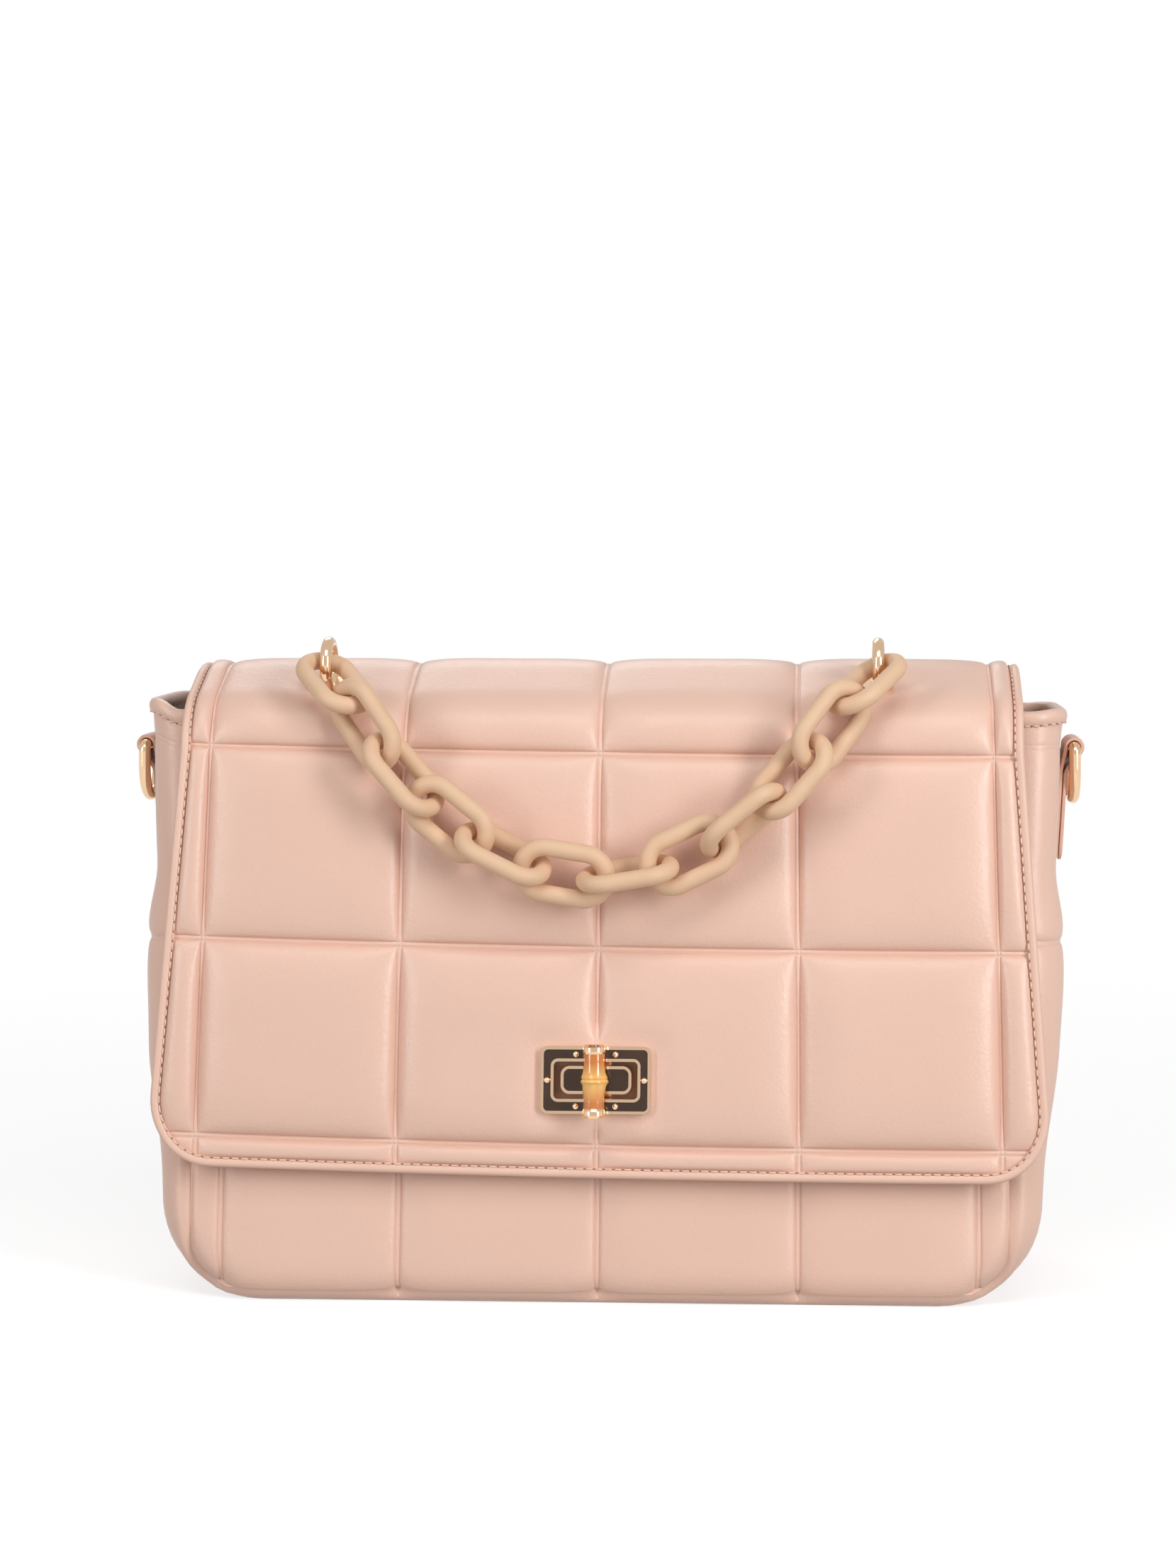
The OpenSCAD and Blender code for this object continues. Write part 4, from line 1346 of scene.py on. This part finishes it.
class BAG_OT_lining(bpy.types.Operator):
    """Make the textile lining"""

    bl_idname = "bag.lining"
    bl_label = "Lining"

    def execute(self, context):
        b = body()
        wall, soft = b.wall + 0.2 * MM, 12 * MM
        rings = [(z, 0.0) for z in reversed(steps_between(b.floor + soft, b.rim_height - 0.6 * MM, 6 * MM))]
        for k in range(1, 11):
            a = math.radians(9 * k)
            rings.append((b.floor + soft * (1 - math.sin(a)), soft * (1 - math.cos(a))))
        rings += [(b.floor, inset * MM) for inset in (20, 30, 36)]
        routes = [self.section(z, wall + inset) for z, inset in rings]
        bm = flat_sheet([float(k) for k in range(len(rings))], steps_between(0, 1, 1 / 140))

        def place(ring, share, _):
            z, inset = rings[round(ring)]
            route = routes[round(ring)]
            (x, y), _ = route.at(share % 1.0 * route.length)
            fold = 0.6 * MM * ripple(x, y, z, 40 * MM) if inset == 0 else 0
            return Vector((x, y - math.copysign(abs(fold), y) + b.middle_y,
                           z + (rim_lift(x, z) if inset == 0 else 0)))

        wrap(bm, place)
        bmesh.ops.remove_doubles(bm, verts=bm.verts[:], dist=1e-6)
        floor = [e for e in bm.edges if e.is_boundary and max(v.co.z for v in e.verts) < b.floor + MM]
        bmesh.ops.holes_fill(bm, edges=floor, sides=0)
        bmesh.ops.recalc_face_normals(bm, faces=bm.faces[:])
        bmesh.ops.solidify(bm, geom=bm.faces[:], thickness=b.lining * 0.8)
        material = made_once("twill", weave_paint, colours().lining)
        piece("textile_lining", bm, "body", material, ("lining",))
        return {"FINISHED"}

    def section(self, z, inset):
        """The inside of the body at a height, as a closed path from the middle of the front."""
        b = body()
        half = side_x(max(z, 8 * MM)) - inset
        return box_route(half, front_y(z) + inset, back_y(z) - inset, max(b.edge_round - inset, 3 * MM), 8)


# Fold strip at the back


def fold_route():
    """From the flap's top over the fold and down the back wall."""
    b = body()
    top, _ = FLAP_ROUTE.at(FLAP_END - FOLD_OVERLAP)
    corner = FLAP_PROFILE[-1] + Vector((3.4, -0.4)) * MM
    shoulder_z, foot_z = b.rim_height - 12 * MM, b.rim_height - 32 * MM
    shoulder = Vector((back_y(shoulder_z) + 3.4 * MM, shoulder_z))
    foot = Vector((back_y(foot_z) + 2.4 * MM, foot_z))
    return Route(fillet([top, corner, shoulder, foot], [7 * MM, 14 * MM], 10))



class BAG_OT_fold(bpy.types.Operator):
    """Make the strip that joins the flap to the back panel over the fold"""

    bl_idname = "bag.fold"
    bl_label = "Fold strip"

    def execute(self, context):
        b = body()
        route = fold_route()
        half, thick, stitch_inset = 141.5 * MM, 1.6 * MM, 2.6 * MM
        across = grid_lines(-half, half, [half, -half], 6 * MM, (0, 0.5, 1.2, 2.5, 5))
        along = grid_lines(0, route.length, [0, route.length], 1.6 * MM, (0, 0.5, 1.2, 2.5))
        bm = flat_sheet(across, along, thick)

        def edge_of(x, s):
            return min(half - abs(x), s, route.length - s)

        def place(x, s, depth):
            (y, z), (run_y, run_z) = route.at(s)
            edge = edge_of(x, s)
            top = -0.5 * MM * math.exp(-edge / (0.8 * MM)) - 0.35 * MM * bell(edge - stitch_inset, 0.7 * MM)
            height = depth if depth < 0 else top
            return Vector((x, y - run_z * height + b.middle_y, z + run_y * height))

        # Crease along the strip's edges and stitch line, which the leather's colour takes as painted shade.
        def crease(x, s, depth):
            edge = edge_of(x, s)
            return 0.5 * bell(edge, 0.6 * MM) + 0.25 * bell(edge - stitch_inset, MM)

        wrap(bm, place, crease=crease)
        strip = piece("fold_strip", bm, None, leather(), ("flap_anchor",))
        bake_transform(strip)
        reach, low = half - stitch_inset, route.length - stitch_inset
        row = rows_of(Route([Vector((-reach, low)), Vector((reach, low))]),
                      lambda x, s, h: place(x, s, 0) + self.out(route, s) * h)
        stitch_row("fold_stitches", row, "body")
        return {"FINISHED"}

    def out(self, route, s):
        """Direction out of the fold strip's outer face."""
        _, run = route.at(s)
        return Vector((0, -run.y, run.x))


# Tabs and rings


class BAG_OT_tabs(bpy.types.Operator):
    """Make the folded leather tabs that hold the side rings"""

    bl_idname = "bag.tabs"
    bl_label = "Side tabs"

    def execute(self, context):
        for side, name, node in ((-1, "left_tab_strap", "left_tab"), (1, "right_tab_strap", "right_tab")):
            self.make(side, name, node)
        return {"FINISHED"}

    def make(self, side, name, node):
        low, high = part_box(node)
        middle, half = (low.y + high.y) / 2, (high.y - low.y) / 2
        thick, corner, stitch_inset, stitch_rise = 1.5 * MM, 5 * MM, 2.1 * MM, 28 * MM
        route = self.strap_route(low.z, node.replace("tab", "ring"), thick)
        beside = (0, 0.3, 0.7, 1.3, 2.2)
        across = grid_lines(-half, half, [half, -half], 2 * MM, beside)
        along = grid_lines(0, route.length, [0], 1.1 * MM, beside)
        bm = flat_sheet(across, along, thick, lower_corners(half - corner, corner, corner, 8))

        def edge_of(y, s):
            return rounded_inset(half - abs(y), s, corner)

        def place(y, s, depth):
            (x, z), run = route.at(s)
            edge = edge_of(y, s)
            worn = math.exp(-edge / (0.45 * MM))
            top = -0.45 * MM * worn - 0.3 * MM * bell(edge - stitch_inset, 0.5 * MM)
            height = depth + 0.35 * MM * worn if depth < 0 else top
            return Vector((side * (x + run.y * height), y + middle, z - run.x * height))

        wrap(bm, place, edge=lambda y, s, d: bell(edge_of(y, s), 0.5 * MM))
        piece(name, bm, "body", made_once("rolled_edge", edge_paint_material), (node,))
        row = skirt_route(half - stitch_inset, stitch_inset, stitch_rise, 3 * MM, 8)
        spots = rows_of(row, lambda y, s, h: place(y, s, 0) + self.out(route, s, side) * h)
        stitch_row(name + "_stitches", spots, "body", 0.8)

    def strap_route(self, foot, ring, thick):
        """The strap's outer face seen from the front: up from its foot, round the bar and down inside."""
        ring_low, ring_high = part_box(ring)
        wire, clear = 2.1 * MM, 0.15 * MM
        outside, inside = 3.2 * MM, 0.1 * MM
        bar = Vector((max(abs(ring_low.x), abs(ring_high.x)) - wire, ring_high.z - wire))
        loop = wire + clear + thick
        turns = [math.radians(d) for d in range(-35, 196, 15)]
        outer = [Vector((side_x(z) + outside, z)) for z in (foot, bar.y - 9 * MM)]
        arc = [bar + Vector((math.cos(a), math.sin(a))) * loop for a in turns]
        inner = [Vector((side_x(z) + inside, z)) for z in (bar.y - 8 * MM, foot + 1 * MM)]
        points = outer + arc + inner
        radii = [5 * MM] + [0] * len(arc) + [4 * MM]
        return Route(fillet(points, radii, 6))

    def out(self, route, s, side):
        """Direction out of the strap's outer face."""
        _, run = route.at(s)
        return Vector((side * run.y, 0, -run.x))


class BAG_OT_metal(bpy.types.Operator):
    """Finish the rings, the arches and their fasteners"""

    bl_idname = "bag.metal"
    bl_label = "Rings and arches"

    def execute(self, context):
        repaint(("left_ring", "right_ring", "left_arch", "right_arch", "arch_washers", "arch_screws"), gold())
        return {"FINISHED"}


# Turn lock


def lock_axes():
    """The lock's middle on the flap's face, and its directions right, up and out."""
    (y, z), run = FLAP_ROUTE.at(leaf_mark(flap().lock_height))
    middle = Vector((0, y + body().middle_y, z))
    return middle, Vector((1, 0, 0)), Vector((0, run.x, run.y)), Vector((0, -run.y, run.x))


class BAG_OT_lock(bpy.types.Operator):
    """Finish the lock's plates and make its bamboo grip"""

    bl_idname = "bag.lock"
    bl_label = "Turn lock"

    def execute(self, context):
        repaint(("lock_frame", "lock_rivets", "lock_backing", "lock_base", "lock_post",
                 "knob_core", "knob_washer", "knob_cap_top", "knob_cap_bottom"), gold())
        enamel = made_once("dark_enamel", enamel_paint, colours().enamel)
        repaint(("lock_frame_enamel", "lock_base_inlay"), enamel)
        self.grip()
        return {"FINISHED"}

    def grip(self):
        """Bamboo turned from its section, swollen at its node."""
        middle, right, up, out = lock_axes()
        half, rise = 9.2 * MM, 8.6 * MM
        centre = middle + out * rise
        section = ((0.0, 1.0), (3.62, 1.0), (3.72, 0.93), (3.60, 0.72), (3.66, 0.5), (3.9, 0.32), (4.35, 0.2),
                   (4.62, 0.12), (4.3, 0.075), (4.75, 0.03), (4.9, -0.03), (4.55, -0.08), (4.15, -0.16),
                   (3.95, -0.3), (3.75, -0.5), (3.62, -0.75), (3.7, -0.93), (3.6, -1.0), (0.0, -1.0))
        bm = bmesh.new()
        points = [bm.verts.new((radius * MM, 0, share * half)) for radius, share in section]
        edges = [bm.edges.new(pair) for pair in zip(points, points[1:])]
        bmesh.ops.spin(bm, geom=points + edges, cent=(0, 0, 0), axis=(0, 0, 1), angle=math.tau, steps=40,
                       use_merge=True)
        bmesh.ops.remove_doubles(bm, verts=bm.verts[:], dist=1e-6)
        for v in bm.verts:
            angle = math.atan2(v.co.y, v.co.x)
            radius = math.hypot(v.co.x, v.co.y)
            near_node = bell(v.co.z, 2.2 * MM)
            swell = 1 + 0.05 * near_node * math.cos(3 * angle) + 0.03 * ripple(*v.co, 3 * MM)
            if radius > 1 * MM:
                v.co.x *= swell
                v.co.y *= swell
        turn = Matrix((right, -out, up)).transposed().to_4x4()
        bmesh.ops.transform(bm, matrix=Matrix.Translation(centre) @ turn, verts=bm.verts[:])
        material = bamboo_paint("bamboo", centre.z, half)
        piece("bamboo_grip", bm, "knob", material, ("knob_grip",))


class BAG_OT_chain(bpy.types.Operator):
    """Finish the chain's resin links"""

    bl_idname = "bag.chain"
    bl_label = "Chain"

    def execute(self, context):
        links = [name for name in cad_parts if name.startswith("chain_link_")]
        repaint(links, made_once("matt_resin", resin_paint, colours().resin))
        return {"FINISHED"}


class BAG_OT_inside(bpy.types.Operator):
    """Finish the board in the base"""

    bl_idname = "bag.inside"
    bl_label = "Base board"

    def execute(self, context):
        repaint(("base_board",), made_once("fibre_board", plain_paint, colours().board))
        return {"FINISHED"}


# Stage


LIT_POINT = Vector((0, 0, 0.1))


def lamp(name, place, width, height, power):
    """A soft box that faces the bag's middle."""
    data = bpy.data.lights.new(name, "AREA")
    data.shape = "RECTANGLE"
    data.size, data.size_y, data.energy = width, height, power
    made = bpy.data.objects.new(name, data)
    made.location = place
    made.rotation_euler = (LIT_POINT - Vector(place)).to_track_quat("-Z", "Y").to_euler()
    bpy.context.scene.collection.objects.link(made)


def floor_paint():
    """White floor: near the bag the camera sees its shadows, and past them full white."""
    paint = Paint("white_floor", "ShaderNodeMixShader")
    camera, glossy, through = (paint.ray(kind) for kind in ("Camera", "Glossy", "Transmission"))
    grain = paint.ramp(paint.noise(3, 2), 0.3, 0.7)
    tone = paint.mixed(grain * 0.04, colours().floor, (0.6, 0.6, 0.6))
    plain = paint.node("ShaderNodeBsdfDiffuse", {}, {"Color": tone})
    glow = paint.node("ShaderNodeEmission", {}, {"Color": (1, 1, 1), "Strength": 0.72})
    dim = paint.node("ShaderNodeBsdfDiffuse", {}, {"Color": (0.42, 0.42, 0.42)})
    near = paint.node("ShaderNodeAddShader", {}, {0: glow, 1: dim})
    reach = paint.node("ShaderNodeVectorMath", {"operation": "LENGTH"}, {0: paint.places()}, "Value")
    white = paint.node("ShaderNodeEmission", {}, {"Color": (1, 1, 1), "Strength": 1.0})
    shown = paint.node("ShaderNodeMixShader", {}, {0: paint.ramp(reach, 0.35, 0.8), 1: near, 2: white})
    paint.feed(paint.shader.inputs[0], (camera + glossy + through).clamped())
    paint.feed(paint.shader.inputs[1], plain)
    paint.feed(paint.shader.inputs[2], shown)
    return paint.owner


class BAG_OT_stage(bpy.types.Operator):
    """Set up the floor, the lights and the camera"""

    bl_idname = "bag.stage"
    bl_label = "Stage"

    def execute(self, context):
        scene = context.scene
        scene.view_settings.view_transform = "Standard"
        bm = bmesh.new()
        bmesh.ops.create_grid(bm, x_segments=2, y_segments=2, size=12)
        mesh = bpy.data.meshes.new("floor")
        bm.to_mesh(mesh)
        bm.free()
        floor = bpy.data.objects.new("floor", mesh)
        mesh.materials.append(floor_paint())
        scene.collection.objects.link(floor)
        self.world(scene)
        lamp("right_box", (1.08, -1.02, 0.55), 0.35, 0.9, 12.5)
        lamp("left_box", (-1.08, -1.02, 0.55), 0.35, 0.9, 7.0)
        lamp("top_box", (0.1, -0.85, 1.3), 1.2, 0.5, 6.0)
        lamp("back_box", (-0.3, 1.3, 1.25), 0.9, 0.6, 5.0)
        self.camera(scene)
        return {"FINISHED"}

    def world(self, scene):
        """Dim light from all round; the camera sees it white, and polished surfaces nearly so."""
        sky = Paint("white", "ShaderNodeBackground", world=True)
        seen = sky.ray("Glossy") * 0.65 + sky.ray("Camera")
        strength = sky.node("ShaderNodeMapRange", {}, {"Value": seen, "To Min": 0.2, "To Max": 1.0})
        sky.set(Color=(1, 1, 1), Strength=strength)
        scene.world = sky.owner

    def camera(self, scene):
        """The photo's camera: its focal length, horizon and sideways shift are in the photo's pixels."""
        photo_height = 2212
        focal_px, horizon_px, shift_px = 4282, 751, 145
        yaw = math.radians(2.6)
        beside, before, above = 80 * MM, 1100 * MM, 267 * MM
        data = bpy.data.cameras.new("camera")
        data.sensor_fit = "AUTO"
        data.sensor_width = 36
        data.lens = focal_px / photo_height * data.sensor_width
        data.shift_x = -shift_px / photo_height
        data.shift_y = (horizon_px - photo_height / 2) / photo_height
        made = bpy.data.objects.new("camera", data)
        made.location = (beside, body().middle_y - before, above)
        made.rotation_euler = (math.pi / 2, 0, yaw)
        scene.collection.objects.link(made)
        scene.camera = made


class BAG_PT_parts(bpy.types.Panel):
    """Lists the bag's pieces"""

    bl_label = "Quilted chain bag"
    bl_space_type = "VIEW_3D"
    bl_region_type = "UI"
    bl_category = "Bag"

    def draw(self, context):
        for operator in OPERATORS:
            self.layout.operator(operator.bl_idname)


OPERATORS = (
    BAG_OT_stage,
    BAG_OT_panels,
    BAG_OT_gussets,
    BAG_OT_rim,
    BAG_OT_lining,
    BAG_OT_flap_quilt,
    BAG_OT_flap_edge,
    BAG_OT_flap_lining,
    BAG_OT_flap_stitches,
    BAG_OT_fold,
    BAG_OT_tabs,
    BAG_OT_metal,
    BAG_OT_lock,
    BAG_OT_chain,
    BAG_OT_inside,
)


def register():
    for group in GROUPS.values():
        bpy.utils.register_class(group)
    for name, group in GROUPS.items():
        setattr(bpy.types.Scene, name, bpy.props.PointerProperty(type=group))
    for made in (*OPERATORS, BAG_PT_parts):
        bpy.utils.register_class(made)


def unregister():
    for made in reversed((*OPERATORS, BAG_PT_parts)):
        bpy.utils.unregister_class(made)
    for name, group in GROUPS.items():
        delattr(bpy.types.Scene, name)
        bpy.utils.unregister_class(group)


def main():
    register()
    for operator in OPERATORS:
        group, name = operator.bl_idname.split(".")
        getattr(getattr(bpy.ops, group), name)()


if __name__ == "__main__":
    main()
